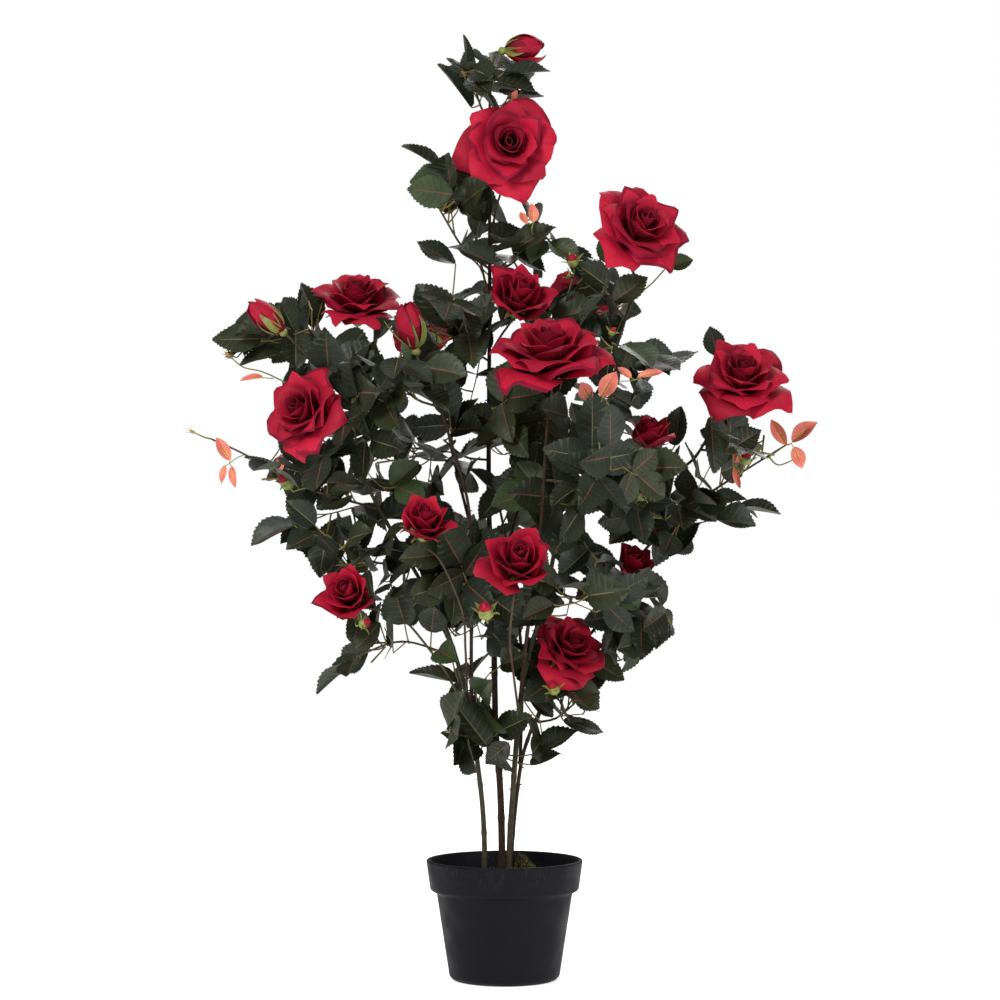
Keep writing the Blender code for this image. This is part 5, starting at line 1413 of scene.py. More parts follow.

# %% [markdown]
# ## Leaves that stand out
# At the crown's edge single leaves stand against the white. A rule can't guess those, so they are placed
# one by one as they are seen, by foot and tip, and the width that is seen says how far each is turned away.

# %% Leaves placed as they are seen
# (spray, its leaves as (depth, foot, tip, width seen)), places as (across, height), all in cm
SHOWN_LEAVES = [
    ("top_spray", [(-1, (-3.8, 99.7), (-7.5, 104.9), 1.5), (-1, (-4.3, 104.5), (-4.8, 108.1), 0.9),
        (-3, (-0.1, 103.7), (5.3, 103.8), 1.7), (-3, (-1.0, 102.8), (3.6, 101.4), 1.9),
        (-2, (-1.4, 102.2), (-5.3, 104.7), 1.1)]),
    ("upper_left_spray", [(-5, (-5.9, 89.8), (-11.2, 90.4), 4.6), (-5, (-5.7, 89.0), (-2.3, 86.5), 2.1),
        (-3, (-7.3, 92.6), (-11.5, 95.8), 1.2), (-2, (-5.4, 90.6), (-7.2, 94.2), 2.4),
        (-3, (-3.5, 89.6), (-5.0, 94.4), 3)]),
    ("centre_left_upper", [(-2, (-5.6, 81.8), (-10.1, 84.3), 2)]),
    ("upper_right_spray", [(-3, (-1.2, 81.8), (-5.4, 83.8), 2.6), (-4, (0.9, 83.3), (5.7, 86.5), 3.1),
        (-4, (1.0, 83.0), (4.8, 81.0), 2.1)]),
    ("centre_left_upper", [(-6, (-6.1, 74.5), (-10.1, 79.6), 3.9), (-4, (-4.1, 73.1), (-1.4, 78.6), 3.6)]),
    ("right_shoulder", [(-7, (11.8, 79.2), (8.2, 82.0), 3), (-6, (12.2, 81.7), (11.4, 85.4), 2.8),
        (-7, (12.4, 77.5), (16.4, 80.4), 3.2), (-4, (18.7, 81.6), (21.6, 82.3), 2)]),
    ("upper_right_spray", [(-5, (5.4, 75.5), (10.8, 77.0), 2.4)]),
    ("left_bud_leaves", [(-4, (-27.8, 73.3), (-33.5, 73.1), 3.2), (-4, (-25.7, 71.7), (-30.3, 70.1), 2),
        (0, (-21.9, 74.5), (-23.1, 79.8), 3), (-2, (-23.9, 73.9), (-25.6, 77.5), 2.2),
        (-2, (-25.4, 73.7), (-21.2, 71.5), 2.2)]),
    ("left_middle", [(-8, (-15.7, 68.6), (-19.9, 72.8), 3.2)]),
    ("left_low", [(-9, (-21.7, 51.9), (-24.9, 54.8), 2.6), (-9, (-24.1, 51.9), (-29.2, 49.8), 2.3)]),
    ("right_upper", [(-7, (16.2, 69.8), (22.2, 71.7), 1.7), (-8, (13.2, 69.4), (14.5, 73.0), 3.2)]),
    ("right_rose_leaves", [(1, (24.4, 71.3), (23.5, 74.7), 2.8), (0, (22.4, 64.4), (22.0, 69.2), 1.7),
        (-3, (23.6, 64.4), (24.2, 57.8), 3.4), (-3, (25.5, 60.4), (29.4, 62.9), 3)]),
    ("right_middle", [(-2, (19.5, 61.0), (20.1, 65.6), 2.7), (-6, (18.4, 52.6), (20.2, 61.1), 1.8),
        (-2, (18.6, 48.4), (22.2, 52.5), 2.9)]),
    ("far_right_twig", [(3, (23.6, 54.3), (27.7, 55.1), 1.8), (3, (26.6, 53.8), (31.7, 53.5), 1.1)]),
    ("low_left_spray", [(-10, (-16.5, 36.7), (-21.8, 32.9), 1.7), (-6, (-5.3, 33.9), (-11.0, 34.9), 1.3),
        (-9, (-14.3, 40.8), (-17.2, 37.4), 2.4)]),
    ("foot_leaves", [(-4, (-1.9, 26.6), (-6.1, 32.0), 3.4), (-4, (-3.0, 25.5), (-7.2, 28.4), 2.4),
        (-5, (0.5, 27.0), (-2.2, 24.6), 2.7), (-1, (3.3, 25.7), (8.6, 28.4), 2),
        (-2, (2.9, 24.5), (6.4, 26.1), 1.6)]),
    ("low_right_spray", [(0, (6.7, 29.6), (11.4, 28.1), 1.7), (-2, (7.2, 33.5), (10.9, 30.9), 2.5),
        (0, (9.8, 36.7), (13.7, 34.1), 3), (-3, (1.8, 32.7), (5.7, 30.1), 1.3)]),
]
DEPTH_SHIFTS = (0, -1, 1, -2, 2, -3, 3, 4.5, -4.5)
SHOWN_WIDTH = 0.72
SHOWN_CLEARANCE = 1 * MM


def shown_leaf(name, depth, foot, tip, seen_width, crown):
    """One leaf that stands where it is seen, at the first depth near its own that is free."""
    for shift in DEPTH_SHIFTS:
        base, end = laid_out(*foot, depth + shift), laid_out(*tip, depth + shift)
        way, length = unit(end - base), norm(end - base)
        width = SHOWN_WIDTH * length
        tilt = math.acos(min(1.0, seen_width * CM / width))
        face = unit(np.array([0, -1.0, 0]) - way * -way[1])
        side = np.cross(face, way)
        side = side if side[2] > 0 else -side
        blade = (base, way, face * math.cos(tilt) + side * math.sin(tilt), length, width)
        spots = blade_points(*blade)
        start = nearest_on(stems[name], base)[0]
        leaf, stalk = blade_tree([blade]), rod_tree(start, base, SHOWN_CLEARANCE)
        if crown.clear_of_limbs(spots, SHOWN_CLEARANCE) and crown.clear_of_blooms(spots) \
                and not crown.hides_a_rose(spots) and not crown.touches(leaf, spots.mean(axis=0)) \
                and not crown.touches(stalk, (start + base) / 2, [name]):
            crown.place(leaf, spots, name)
            crown.place(stalk, np.array([start, base]), name)
            crown.middles.append(spots.mean(axis=0))
            return [(start, base, [blade])]
    return []


shown = {name: [] for name in MASSES}
for name, rows in SHOWN_LEAVES:
    for row in rows:
        shown[name] += shown_leaf(name, *row, crown)
print("leaves that stand out", sum(len(kind) for kind in shown.values()))

# %% [markdown]
# ## Growing the sprays
# First each stem grows its side twigs and these their leaves, spray by spray. Each spray draws from its own
# seed, so a change in one leaves the others as they are. Then fine twigs reach for the places that are
# still thin, and every spray gets a few more. One without room for a leaf is left out, because a bare one
# would stand against the sky.

# %% Main twigs and their leaves
draws = {name: Random(seed) for seed, name in enumerate(MASSES, 1)}
twigs = {}
for name, row in MASSES.items():
    stem_twig = (stems[name], TWIG_RADIUS, name + " stem")
    side_twigs = grow_twigs(name, row[2], [stem_twig], crown, draws[name], row[3], SIDE_TWIG_RADIUS)
    twigs[name] = [stem_twig] + side_twigs
leaves = {name: shown[name] + grow_leaves(name, row[2], row[4], twigs[name], crown, draws[name])
          for name, row in MASSES.items()}
print("leaflets of the main twigs", sum(len(kept) for kind in leaves.values() for _, _, kept in kind))
# %% Fine twigs
FINE_TWIGS = 3
FINE_TWIG_RADIUS = (0.8, 0.6)
FINE_LEAVES = 4
FINE_SAG = 0.08
bare_ends = {}
# Thin places that finer twigs reach for: (spray, (across, height, depth) in cm, compound leaves)
THIN_PLACES = [
    ("left_low", (-12.9, 44.3, -8), 3), ("left_low", (-23.6, 53.4, -7), 2),
    ("centre_low_left", (-11.7, 42.7, -10), 2), ("centre_left", (-8.8, 56.3, -4), 3),
    ("centre_left", (-11.0, 57.5, 2), 2), ("left_middle", (-13.3, 55.7, -8), 2),
    ("centre_low_left", (-2.6, 38.8, -6), 2), ("centre_low_left", (-5.7, 39.2, -4), 2),
    ("left_bud_leaves", (-30.7, 73.1, -4), 2), ("right_shoulder", (14.0, 78.1, -5), 3),
    ("low_right_spray", (4.6, 26.4, 1), 2), ("left_low", (-26.3, 50.8, -7), 2),
    ("low_right_spray", (4.1, 35.6, -5), 2), ("right_upper", (12.3, 72.9, -8), 2),
    ("right_upper", (14.6, 71.3, -7), 2), ("centre_low_right", (6.9, 46.2, -8), 2),
    ("centre_right", (8.9, 52.7, -9), 2), ("top_spray", (2.0, 101.5, -2), 2),
    ("right_middle", (19.9, 49.3, 0), 2), ("centre", (1.5, 56.9, -3), 3),
    ("centre_right", (5.4, 55.9, -8), 2), ("right_middle", (24.2, 60.0, -3), 2),
    ("upper_right_spray", (6.4, 76.0, -2), 2), ("right_low", (18.4, 40.5, 2), 2),
    ("centre", (0.1, 60.0, 4), 2), ("foot_leaves", (-6.2, 27.9, -3), 2),
    ("centre_low_left", (-9.1, 50.8, -6), 2), ("centre_left_upper", (-3.9, 66.2, -2), 2),
    ("centre", (1.8, 66.2, -6), 2), ("left_middle", (-20.5, 61.1, -12), 2),
    ("centre_low_right", (10.9, 46.8, -8), 2), ("centre_left_upper", (-7.8, 73.8, -2), 3),
    ("centre_left_upper", (-9.8, 77.0, 3), 2), ("right_shoulder", (10.8, 76.4, 3), 3),
    ("upper_right_spray", (8.2, 78.2, 4), 2), ("right_low", (13.2, 36.4, 0), 2),
    ("left_low", (-11.1, 45.3, -9), 2), ("left_bud_leaves", (-14.7, 73.4, 0), 1),
    ("centre_low_left", (-2.4, 36.0, -5), 2), ("centre_low_right", (8.6, 41.8, -8), 3),
    ("left_low", (-14.2, 49.4, -8), 3), ("left_low", (-14.2, 45.6, -8), 2),
    ("centre_right", (7.6, 65.7, -10), 2), ("right_shoulder", (16.8, 79.5, -5), 2),
    ("centre_left", (-3.7, 58.6, -1), 2), ("left_bud_leaves", (-20.6, 78.3, 2), 1),
    ("centre_left", (-4.6, 57.5, -5), 2), ("centre_low_left", (-7.4, 36.2, -6), 2),
]


def on_twigs(name, goal):
    """The nearest point on a spray's twigs."""
    routes = [twig[0] for twig in twigs[name]] + bare_ends.get(name, [])
    feet = [nearest_on(route, goal)[0] for route in routes]
    return min(feet, key=lambda foot: norm(foot - goal))


def grow_towards(name, goal, crown):
    """A fine twig from the nearest of a spray's twigs to a thin place of the crown."""
    start = on_twigs(name, goal)
    reach = goal - start
    sag = np.array([0, 0, -FINE_SAG * norm(reach)])
    route = smooth_route([start, start + reach * 0.5 + sag, goal], 20 * MM)
    label = f"{name} to {np.round(goal, 3)}"
    for one, other in zip(route, route[1:]):
        crown.place(rod_tree(one, other, FINE_TWIG_RADIUS[0] * MM), np.array([one, other]), name, label)
    return route, FINE_TWIG_RADIUS, label


for name, place, count in THIN_PLACES:
    twig = grow_towards(name, laid_out(*place), crown)
    leaves[name] += grow_leaves(name, MASSES[name][2], count, [twig], crown, draws[name], (0.80, 1.02))
    if twig[2] in crown.used:
        twigs[name].append(twig)
for name, row in MASSES.items():
    fine_twigs = grow_twigs(name, row[2], twigs[name], crown, draws[name], FINE_TWIGS, FINE_TWIG_RADIUS,
                            (0.25, 0.5))
    more = grow_leaves(name, row[2], FINE_LEAVES, fine_twigs + twigs[name], crown, draws[name], (0.72, 1.0))
    twigs[name] += [twig for twig in fine_twigs if twig[2] in crown.used]
    leaves[name] += more
print("leaflets in all", sum(len(kept) for kind in leaves.values() for _, _, kept in kind))
print("growing took", round(time.time() - grow_start, 1), "s")
# %% [markdown]
# ## Leaves
# Each leaflet is a printed cloth blade: oval, pointed, with fine teeth, a coloured midrib and raised side
# veins. A flat card with a picture would be lighter, but its teeth and veins would be gone from the side.
# Ten blades are worked out once and placed again and again, each a closed sheet half a millimetre thick.

# %% The blade of a leaflet
LEAF_THICK = 0.5 * MM
VEINS = 7
VEIN_START = 0.070
VEIN_SPACING = 0.128
VEIN_LEAN = 0.75
LEAF_COLUMNS = np.array([-1.0, -0.68, -0.30, -1.0, 1.0, 0.30, 0.68, 1.0])
RIB_COLUMNS = (3, 4)
RIB_HALF = 0.050
TOOTH = 0.040
WIDEST_AT = 0.45


def leaf_rows():
    """Shares of the length at which rows stand, and which gaps between them are side veins."""
    rows = [0.0, 0.030]
    veins = [False, False]
    for vein in range(VEINS):
        start = VEIN_START + vein * VEIN_SPACING
        rows += [start, start + 0.020, start + 0.070]
        veins += [True, False, False]
    rows += [0.968, 1.0]
    veins += [False]
    return np.array(rows), np.array(veins)


LEAF_ROWS, LEAF_VEINS = leaf_rows()


def leaf_half(s):
    """Half the width at a share of the length: a round foot, widest before the middle, a drawn-out tip."""
    foot = np.sin(np.clip(s / WIDEST_AT, 0, 1) * math.pi / 2) ** 0.62
    tip = (1 - np.clip((s - WIDEST_AT) / (1 - WIDEST_AT), 0, 1) ** 2.1) ** 1.05
    return 0.5 * foot * tip


def leaf_shape(rng, tooth=TOOTH):
    """One leaflet for a length and a width of 1: the rows of its top, and the points under its midrib."""
    s = LEAF_ROWS[:, None]
    swing = np.where(np.arange(len(LEAF_ROWS)) % 2 == 0, 1.0, -1.0)[:, None]
    rib = RIB_HALF * (1 - 0.75 * s)
    q = np.broadcast_to(LEAF_COLUMNS[None], (len(LEAF_ROWS), len(LEAF_COLUMNS))).copy()
    q[:, RIB_COLUMNS[0]] = -rib[:, 0]
    q[:, RIB_COLUMNS[1]] = rib[:, 0]
    side = np.abs(q)
    margin = side > 0.95
    x = s + VEIN_LEAN * s * (1 - s) * side
    half = leaf_half(x)
    x = x + np.where(margin, 0.35 * tooth * swing, 0)
    y = q * half * np.where(margin, 1 + tooth * swing, 1.0)
    fold = rng.uniform(0.05, 0.42)
    wave = 0.018 * np.sin(8 * s + rng.uniform(0, 6)) * np.sign(q) * side ** 2
    bend = rng.uniform(-0.03, 0.13)
    between_veins = np.where(np.append(LEAF_VEINS, False)[:, None], 0.0, 0.006)
    quilt = np.where((side > 0.2) & ~margin, 1.0, 0.0) * between_veins
    z = fold * np.abs(y) + wave - bend * s ** 2 + quilt + np.where(side < 0.1, -0.006, 0.0)
    twist = rng.gauss(0, 0.22) * s
    top = np.stack(np.broadcast_arrays(x, y * np.cos(twist) - z * np.sin(twist),
                                       z * np.cos(twist) + y * np.sin(twist)), axis=-1)
    under = np.stack([LEAF_ROWS, 0 * LEAF_ROWS, -bend * LEAF_ROWS ** 2], axis=-1)
    return top, under


def leaf_faces():
    """Faces of a leaflet with single points as foot and tip, whose underside shares the top's margin."""
    inner, columns = len(LEAF_ROWS) - 2, len(LEAF_COLUMNS)
    number = np.arange(inner * columns).reshape(inner, columns)
    under = np.arange(inner) + inner * columns
    foot, tip = inner * columns + inner, inner * columns + inner + 1
    top = grid_faces(inner, columns)
    left, right = number[:, 0], number[:, -1]
    backs = np.concatenate([np.stack([left[:-1], under[:-1], under[1:], left[1:]], axis=-1)[:, ::-1],
                            np.stack([under[:-1], right[:-1], right[1:], under[1:]], axis=-1)[:, ::-1]])
    ends = [(foot, number[0, column], number[0, column + 1]) for column in range(columns - 1)]
    ends += [(number[-1, column], tip, number[-1, column + 1]) for column in range(columns - 1)]
    end_backs = [(foot, under[0], left[0]), (foot, right[0], under[0]),
                 (tip, left[-1], under[-1]), (tip, under[-1], right[-1])]
    return top, backs[:, ::-1], np.array(ends), np.array(end_backs)


shape_rng = Random(11)
LEAF_SHAPES = [leaf_shape(shape_rng) for kind in range(10)]
SMOOTH_SHAPES = [leaf_shape(shape_rng, 0.0) for kind in range(4)]
LEAF_TOP, LEAF_BACK, LEAF_ENDS, LEAF_END_BACKS = leaf_faces()
print("leaflet shapes", len(LEAF_SHAPES), "toothed and", len(SMOOTH_SHAPES), "smooth")

# %% [markdown]
# ## The leaves' finishes
# The cloth is printed in several dark greens, with a red brown or pale midrib, tan veins and a grey green
# back. Each face of the blade belongs to one of these, so the finish is dealt out by face and needs no
# picture. The young leaves are salmon with a yellower heart.

# %% Finishes of the leaves
DEEP_GREEN, MID_GREEN, BLUE_GREEN, FRESH_GREEN = 0, 1, 2, 3
RED_RIB, PALE_RIB, UNDERSIDE, VEIN, YOUNG, YOUNG_HEART = 4, 5, 6, 7, 8, 9
LEAF_GREENS = (DEEP_GREEN,) * 6 + (MID_GREEN,) * 4 + (BLUE_GREEN,) * 3 + (FRESH_GREEN,)
RED_RIB_SHARE = 0.6
HEART_ROWS = 11
# name: (two tones, roughness, specular), in the order of the slots
GREEN_TINTS = {
    "deep green leaf": ((0.0150, 0.0195, 0.0078), (0.0098, 0.0135, 0.0055), (0.40, 0.58), 0.26),
    "green leaf": ((0.0245, 0.0305, 0.0102), (0.0170, 0.0222, 0.0078), (0.40, 0.58), 0.26),
    "blue green leaf": ((0.0165, 0.0235, 0.0150), (0.0120, 0.0175, 0.0110), (0.40, 0.58), 0.28),
    "fresh green leaf": ((0.0380, 0.0600, 0.0185), (0.0285, 0.0450, 0.0140), (0.40, 0.56), 0.28),
}
PRINT_TINTS = {
    "red brown rib": ((0.150, 0.060, 0.030), (0.115, 0.046, 0.024), (0.45, 0.6), 0.3),
    "pale rib": ((0.150, 0.130, 0.060), (0.115, 0.100, 0.048), (0.45, 0.6), 0.3),
    "grey green underside": ((0.055, 0.062, 0.040), (0.042, 0.048, 0.031), (0.6, 0.8), 0.25),
    "tan vein": ((0.036, 0.036, 0.017), (0.027, 0.028, 0.014), (0.42, 0.6), 0.34),
    "young salmon leaf": ((0.74, 0.222, 0.160), (0.60, 0.155, 0.112), (0.5, 0.7), 0.2),
    "young leaf heart": ((0.72, 0.32, 0.13), (0.62, 0.24, 0.10), (0.5, 0.7), 0.2),
}
leaf_finishes = finishes(GREEN_TINTS, grain=650.0, bump=0.24) + finishes(PRINT_TINTS)
print("finishes of the leaves", len(leaf_finishes))


def place_leaf(pile, shape, blade, green, rib, vein=VEIN, back=UNDERSIDE, heart=None):
    """Add one leaflet to a pile, with its ribs and veins dealt out by face."""
    base, direction, normal, length, width = blade
    side = np.cross(normal, direction)
    axes = np.stack([direction * length, side * width, normal * length])
    top, under = (base + points @ axes for points in shape)
    points = np.concatenate([top[1:-1].reshape(-1, 3), under[1:-1] - normal * LEAF_THICK,
                             [base, base + (shape[0][-1].mean(axis=0)) @ axes]])
    slots = np.full((len(LEAF_ROWS) - 3, len(LEAF_COLUMNS) - 1), green)
    slots[LEAF_VEINS[1:-1], 1:-1] = vein
    if heart is not None:
        slots[:HEART_ROWS, 2:-2] = heart
    slots[:-3, RIB_COLUMNS[0]] = rib
    pile.add(points, np.concatenate([LEAF_TOP, LEAF_BACK]),
             np.concatenate([slots.ravel(), np.full(len(LEAF_BACK), back)]),
             np.concatenate([LEAF_ENDS, LEAF_END_BACKS]),
             np.concatenate([np.full(len(LEAF_ENDS), green), np.full(len(LEAF_END_BACKS), back)]))


# %% [markdown]
# ## Bare tips, young leaves and small buds
# A few twigs end bare, with a tiny scaly bud that sends out three hairs. New growth on a rose is red: here
# small salmon leaves without teeth on thin green stalks. Between the leaves sit small closed buds, whose
# two halves are tubes with a swelling radius. All of these stand out, so they are placed one by one, as the
# photo shows them, and hang on the nearest twig.

# %% Wood and bare tips
TWIG_SIDES = 6
FINE_RING = 4 * MM
BROWN, OLIVE, YOUNG_GREEN, TAN = 0, 1, 2, 3
# (spray, depth, route as (across, height)) in cm
BARE_TIPS = [
    ("far_left_twig", -6, [(-34.4, 62.0), (-35.5, 62.5)]),
    ("left_middle", -5, [(-21.5, 66.2), (-25.4, 68.4), (-27.8, 69.5), (-29.9, 70.0), (-31.5, 71.3)]),
    ("far_right_twig", 4, [(30.3, 59.7), (31.4, 58.8), (33.5, 59.6)]),
]
leaf_rng = Random(5)
wood_pile = Pile()


def add_bare_tip(name, depth, points):
    """The bare end of a twig, with a tiny scaly bud."""
    places = [laid_out(*point, depth) for point in points]
    start = on_twigs(name, places[0])
    fine = smooth_route([start, *places], FINE_RING)
    add_tube(wood_pile, fine, np.linspace(1.1, 0.7, len(fine)) * MM, TWIG_SIDES, OLIVE)
    bare_ends[name] = [fine]
    way = unit(places[-1] - places[-2])
    bud = np.array([places[-1] + way * share * 7 * MM for share in (-0.2, 0.1, 0.35, 0.65, 1.0)])
    add_tube(wood_pile, bud, np.array([0.8, 1.7, 2.0, 1.3, 0.3]) * MM, 8, TAN)
    for hair in range(3):
        out = turned_about(way, hair * 2.1, unit(np.cross(way, (0.2, 0.9, 0.3))))
        root = bud[2]
        route = np.array([root, root + out * 3 * MM + way * 3 * MM, root + out * 4 * MM + way * 8 * MM])
        add_tube(wood_pile, route, np.array([0.5, 0.35, 0.1]) * MM, 4, TAN)


for spray in BARE_TIPS:
    add_bare_tip(*spray)
print("bare tips", len(BARE_TIPS))

# %% Young leaves
YOUNG_RADII = np.array([0.5, 0.5, 0.45]) * MM
# (spray, depth, stalk, leaves as (foot, tip, width)), places as (across, height), all in cm
YOUNG_SPRAYS = [
    ("far_left_twig", -7, [(-29.7, 60.0), (-30.7, 59.6), (-31.5, 59.0)],
        [((-31.4, 59.3), (-33.0, 62.0), 1.4), ((-32.0, 58.8), (-32.4, 56.6), 0.9),
        ((-31.2, 58.7), (-30.8, 56.1), 1.1)]),
    ("far_left_twig", -6.5, [(-25.8, 58.0), (-25.6, 58.2)], [((-25.6, 58.1), (-25.6, 60.1), 1.0)]),
    ("far_right_twig", 3, [(30.3, 59.7), (32.3, 61.1), (32.8, 61.3)],
        [((32.3, 61.1), (30.5, 64.0), 1.5), ((32.9, 61.4), (35.9, 63.7), 1.9),
        ((33.1, 60.9), (34.1, 58.4), 1.7)]),
    ("far_right_twig", 2, [(27.0, 57.8), (26.5, 58.7)],
        [((26.4, 59.0), (26.7, 62.1), 0.8), ((26.5, 59.0), (27.6, 61.5), 0.8),
        ((26.3, 58.6), (27.0, 56.1), 0.8)]),
    ("centre_right", -16, [(10.9, 65.8), (11.2, 66.8)],
        [((9.9, 66.2), (8.7, 68.3), 1.7), ((11.0, 66.6), (12.8, 69.5), 1.9),
        ((12.3, 65.3), (10.4, 65.4), 1.1)]),
    ("right_upper", -13, [(11.8, 68.8), (13.8, 68.4), (15.1, 68.6)],
        [((14.5, 68.8), (12.9, 70.0), 1.0), ((15.2, 68.9), (18.1, 69.5), 0.9)]),
    ("upper_right_spray", -6, [(3.1, 85.5), (3.3, 86.6)],
        [((3.3, 86.6), (3.0, 88.8), 1.3), ((2.6, 86.4), (1.8, 87.8), 0.8)]),
    ("top_spray", -4, [(-2.0, 101.0), (-2.1, 101.7)], [((-2.1, 101.7), (-2.5, 104.2), 0.9)]),
    ("left_middle", -5, [(-26.4, 68.7), (-27.6, 68.8)], [((-27.6, 68.8), (-30.3, 68.4), 0.9)]),
    ("top_spray", -4, [(0.1, 100.1), (0.9, 100.7)], [((1.0, 100.5), (1.5, 101.7), 0.8)]),
]


def add_young(pile, name, depth, stalk, blades):
    """A spray of young leaves on its thin green stalk."""
    points = [laid_out(*spot, depth) for spot in stalk]
    start = on_twigs(name, points[0])
    if norm(start - points[0]) > 4 * MM:
        points = [start, *points]
    fine = smooth_route(points, FINE_RING)
    add_tube(wood_pile, fine, np.linspace(0.75, 0.55, len(fine)) * MM, 5, YOUNG_GREEN)
    for foot, tip, width in blades:
        foot, tip = laid_out(*foot, depth), laid_out(*tip, depth + leaf_rng.uniform(-1, 1))
        aim = unit(tip - foot)
        normal = np.array([leaf_rng.gauss(0, 0.3), -1.0, leaf_rng.gauss(0.3, 0.3)])
        normal = unit(normal - aim * normal.dot(aim))
        knee = points[-1] * 0.4 + foot * 0.6 + np.array([0, 0, -1 * MM])
        add_tube(wood_pile, np.array([points[-1], knee, foot]), YOUNG_RADII, 5, YOUNG_GREEN)
        blade = (foot, aim, normal, norm(tip - foot), width * CM)
        shape = leaf_rng.choice(SMOOTH_SHAPES)
        place_leaf(pile, shape, blade, YOUNG, RED_RIB, YOUNG, YOUNG, YOUNG_HEART)


# %% Small buds
SMALL_SEPAL_THICK = 0.5 * MM
SMALL_HIP_SWELL = np.array([0.22, 0.70, 0.95, 1.0, 0.98, 0.88, 0.70])
SMALL_TIP_SWELL = np.array([0.78, 0.86, 0.84, 0.74, 0.56, 0.32, 0.06])
# (spray, depth, (across, height), radius in cm, direction as seen from the front in degrees)
SMALL_BUDS = [
    ("centre_low_left", -15, (-2.2, 42.1), 0.86, 100), ("far_left_twig", -9, (-25.0, 57.0), 0.86, 120),
    ("centre_right", -17, (11.5, 62.8), 0.74, 60), ("right_middle", -12, (15.7, 55.6), 0.74, 60),
    ("far_right_twig", 0, (27.6, 59.6), 0.69, 80), ("left_low", -14, (-16.0, 40.7), 0.57, 20),
    ("low_right_spray", -7, (5.6, 33.3), 0.69, 110), ("upper_right_spray", -8, (7.8, 82.2), 0.63, 100),
    ("upper_right_spray", -7.5, (7.2, 80.6), 0.40, 150), ("right_shoulder", -11, (12.3, 74.1), 0.40, 70),
    ("left_bud_leaves", -4, (-31.5, 71.4), 0.40, 160),
]


def add_small_bud(name, depth, centre, radius, angle):
    """A small closed bud: a green hip, a crimson tip and spreading sepals, on a stalk from its spray."""
    place, size = laid_out(*centre, depth), radius * CM
    lean = math.radians(angle)
    way = unit(np.array([math.cos(lean), -0.45, math.sin(lean)]))
    start = on_twigs(name, place - way * 0.03)
    foot = place - way * size * 1.3
    span = foot - start
    middle = start + span * 0.55 + np.array([0, 0, -0.10 * norm(span)])
    fine = smooth_route([start, middle, foot - way * 4 * MM, foot + way * MM], FINE_RING)
    stalk_slot = SEPAL_GREEN if size > 5 * MM else ROSE_STALK
    add_tube(green_pile, fine, np.linspace(1.0, 0.8, len(fine)) * MM, 6, stalk_slot)
    add_swelling(place, way, size, -1.3, 0.45, SMALL_HIP_SWELL, SEPAL_GREEN)
    add_swelling(place, way, size, 0.15, 1.35, SMALL_TIP_SWELL, BUD_RED)
    rng = Random(int(1000 * abs(place[0])))
    turn = turned_to(way, rng.uniform(0, 6))
    for sepal in range(SEPALS):
        long = size * rng.uniform(1.5, 2.2)
        grid = sepal_grid(long, 0.34 * size, rng.uniform(0.5, 1.0), rng.uniform(0.1, 1.2))
        grid = grid + np.array([0.55 * size, 0, -0.45 * size])
        spin = spun(sepal * 2 * math.pi / SEPALS + rng.gauss(0, 0.15))
        add_sheet(green_pile, grid @ (turn @ spin).T + place, SMALL_SEPAL_THICK)


# %% [markdown]
# ## Putting the foliage together
# One mesh of all leaves would be heavy and one for each spray would be many, so the sprays are gathered in
# four groups. All twigs and leaf stalks are one more mesh, brown where they are old and olive where they
# are young.

# %% Foliage groups
TOP_GROUP_ABOVE = 0.76
LEFT_GROUP_BEFORE = -0.01
TWIG_RING = 8 * MM
LEAF_STALK_RADII = np.array([1.15, 0.95, 0.9, 0.8]) * MM


def group_of(name):
    """The group of a spray, by its name and by where its stem ends."""
    tip = stems[name][-1]
    if name.startswith("back"):
        return "leaves_back"
    if tip[2] > TOP_GROUP_ABOVE:
        return "leaves_top"
    return "leaves_left" if tip[0] < LEFT_GROUP_BEFORE else "leaves_right"


def add_twig(route, radii):
    """A twig: thick ones are drawn a little thinner than their solid, and thin ones are mostly olive."""
    fine = smooth_route(route, TWIG_RING)
    share = 0.85 if radii[0] > 1 else 1
    slot = BROWN if radii[1] > 1.2 and radii[0] > 1 or leaf_rng.random() < 0.3 else OLIVE
    add_tube(wood_pile, fine, np.linspace(radii[0], radii[1], len(fine)) * MM * share, TWIG_SIDES, slot)


def add_compound_leaf(pile, place, end, blades):
    """The stalk of a compound leaf and its leaflets, all of one green."""
    green = leaf_rng.choice(LEAF_GREENS)
    rib = RED_RIB if leaf_rng.random() < RED_RIB_SHARE else PALE_RIB
    bow = np.array([0, 0, -0.06 * norm(end - place)])
    stalk = np.array([place, place * 0.65 + end * 0.35 + bow, place * 0.3 + end * 0.7 + bow, end])
    add_tube(wood_pile, stalk, LEAF_STALK_RADII, 5, OLIVE)
    for blade in blades:
        place_leaf(pile, leaf_rng.choice(LEAF_SHAPES), blade, green, rib)


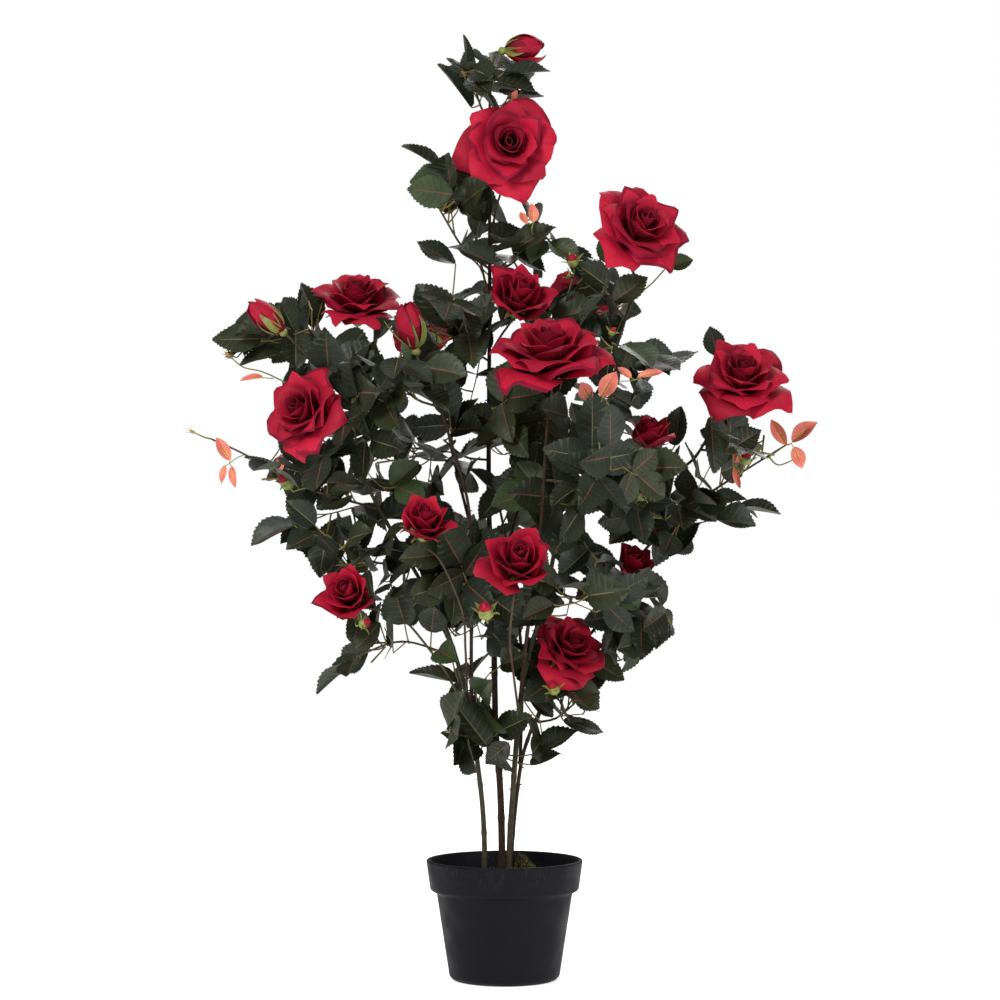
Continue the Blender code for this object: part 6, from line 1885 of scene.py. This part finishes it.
for group in ("leaves_top", "leaves_left", "leaves_right", "leaves_back"):
    pile = Pile()
    names = [name for name in MASSES if group_of(name) == group]
    for name in names:
        for route, radii, _ in twigs[name]:
            add_twig(route, radii)
        for place, end, blades in leaves[name]:
            add_compound_leaf(pile, place, end, blades)
    for spray in YOUNG_SPRAYS:
        if spray[0] in names:
            add_young(pile, *spray)
    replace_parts(pile.mesh_object(group, leaf_finishes, "leaves"), *names)

# %% Twigs, stalks and sepals
for spray in SMALL_BUDS:
    add_small_bud(*spray)
wood_finishes = [
    finish("brown twig", (0.060, 0.038, 0.018), (0.036, 0.024, 0.012), (0.45, 0.65), patches=150.0,
           specular=0.3),
    finish("olive leaf stalk", (0.190, 0.150, 0.035), (0.120, 0.095, 0.026), (0.45, 0.65), patches=150.0,
           specular=0.3),
    finish("green young stalk", (0.20, 0.25, 0.045), (0.15, 0.19, 0.035), (0.45, 0.65), specular=0.3),
    finish("tan bud", (0.35, 0.22, 0.07), (0.25, 0.15, 0.05), (0.5, 0.7), specular=0.3)]
wood = wood_pile.mesh_object("twigs_and_leaf_stalks", wood_finishes, "leaves")
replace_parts(wood, *MASSES)
greens = green_pile.mesh_object("stalks_and_sepals", green_finishes, "leaves")
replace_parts(greens, *BLOOMS)

# %% [markdown]
# ## The floor
# The pot stands on white paper that shines a little of its own light, so that it is as white as the
# background and leaves no edge. It is not part of the bush.

# %% Floor, size and finish
FLOOR_SIZE = 30
FLOOR_DROP = 0.2 * MM
PAPER_GLOW = 0.68
bpy.ops.mesh.primitive_plane_add(size=FLOOR_SIZE, location=(0, 0, -FLOOR_DROP))
floor = bpy.context.object
floor.name = "floor"
paper = finish("white paper", (0.90, 0.90, 0.90), (0.88, 0.88, 0.88), (0.9, 1.0), bump=0.0, specular=0.1)
paper_shader = paper.node_tree.nodes["Principled BSDF"]
paper_shader.inputs["Emission Color"].default_value = WHITE
paper_shader.inputs["Emission Strength"].default_value = PAPER_GLOW
floor.data.materials.append(paper)
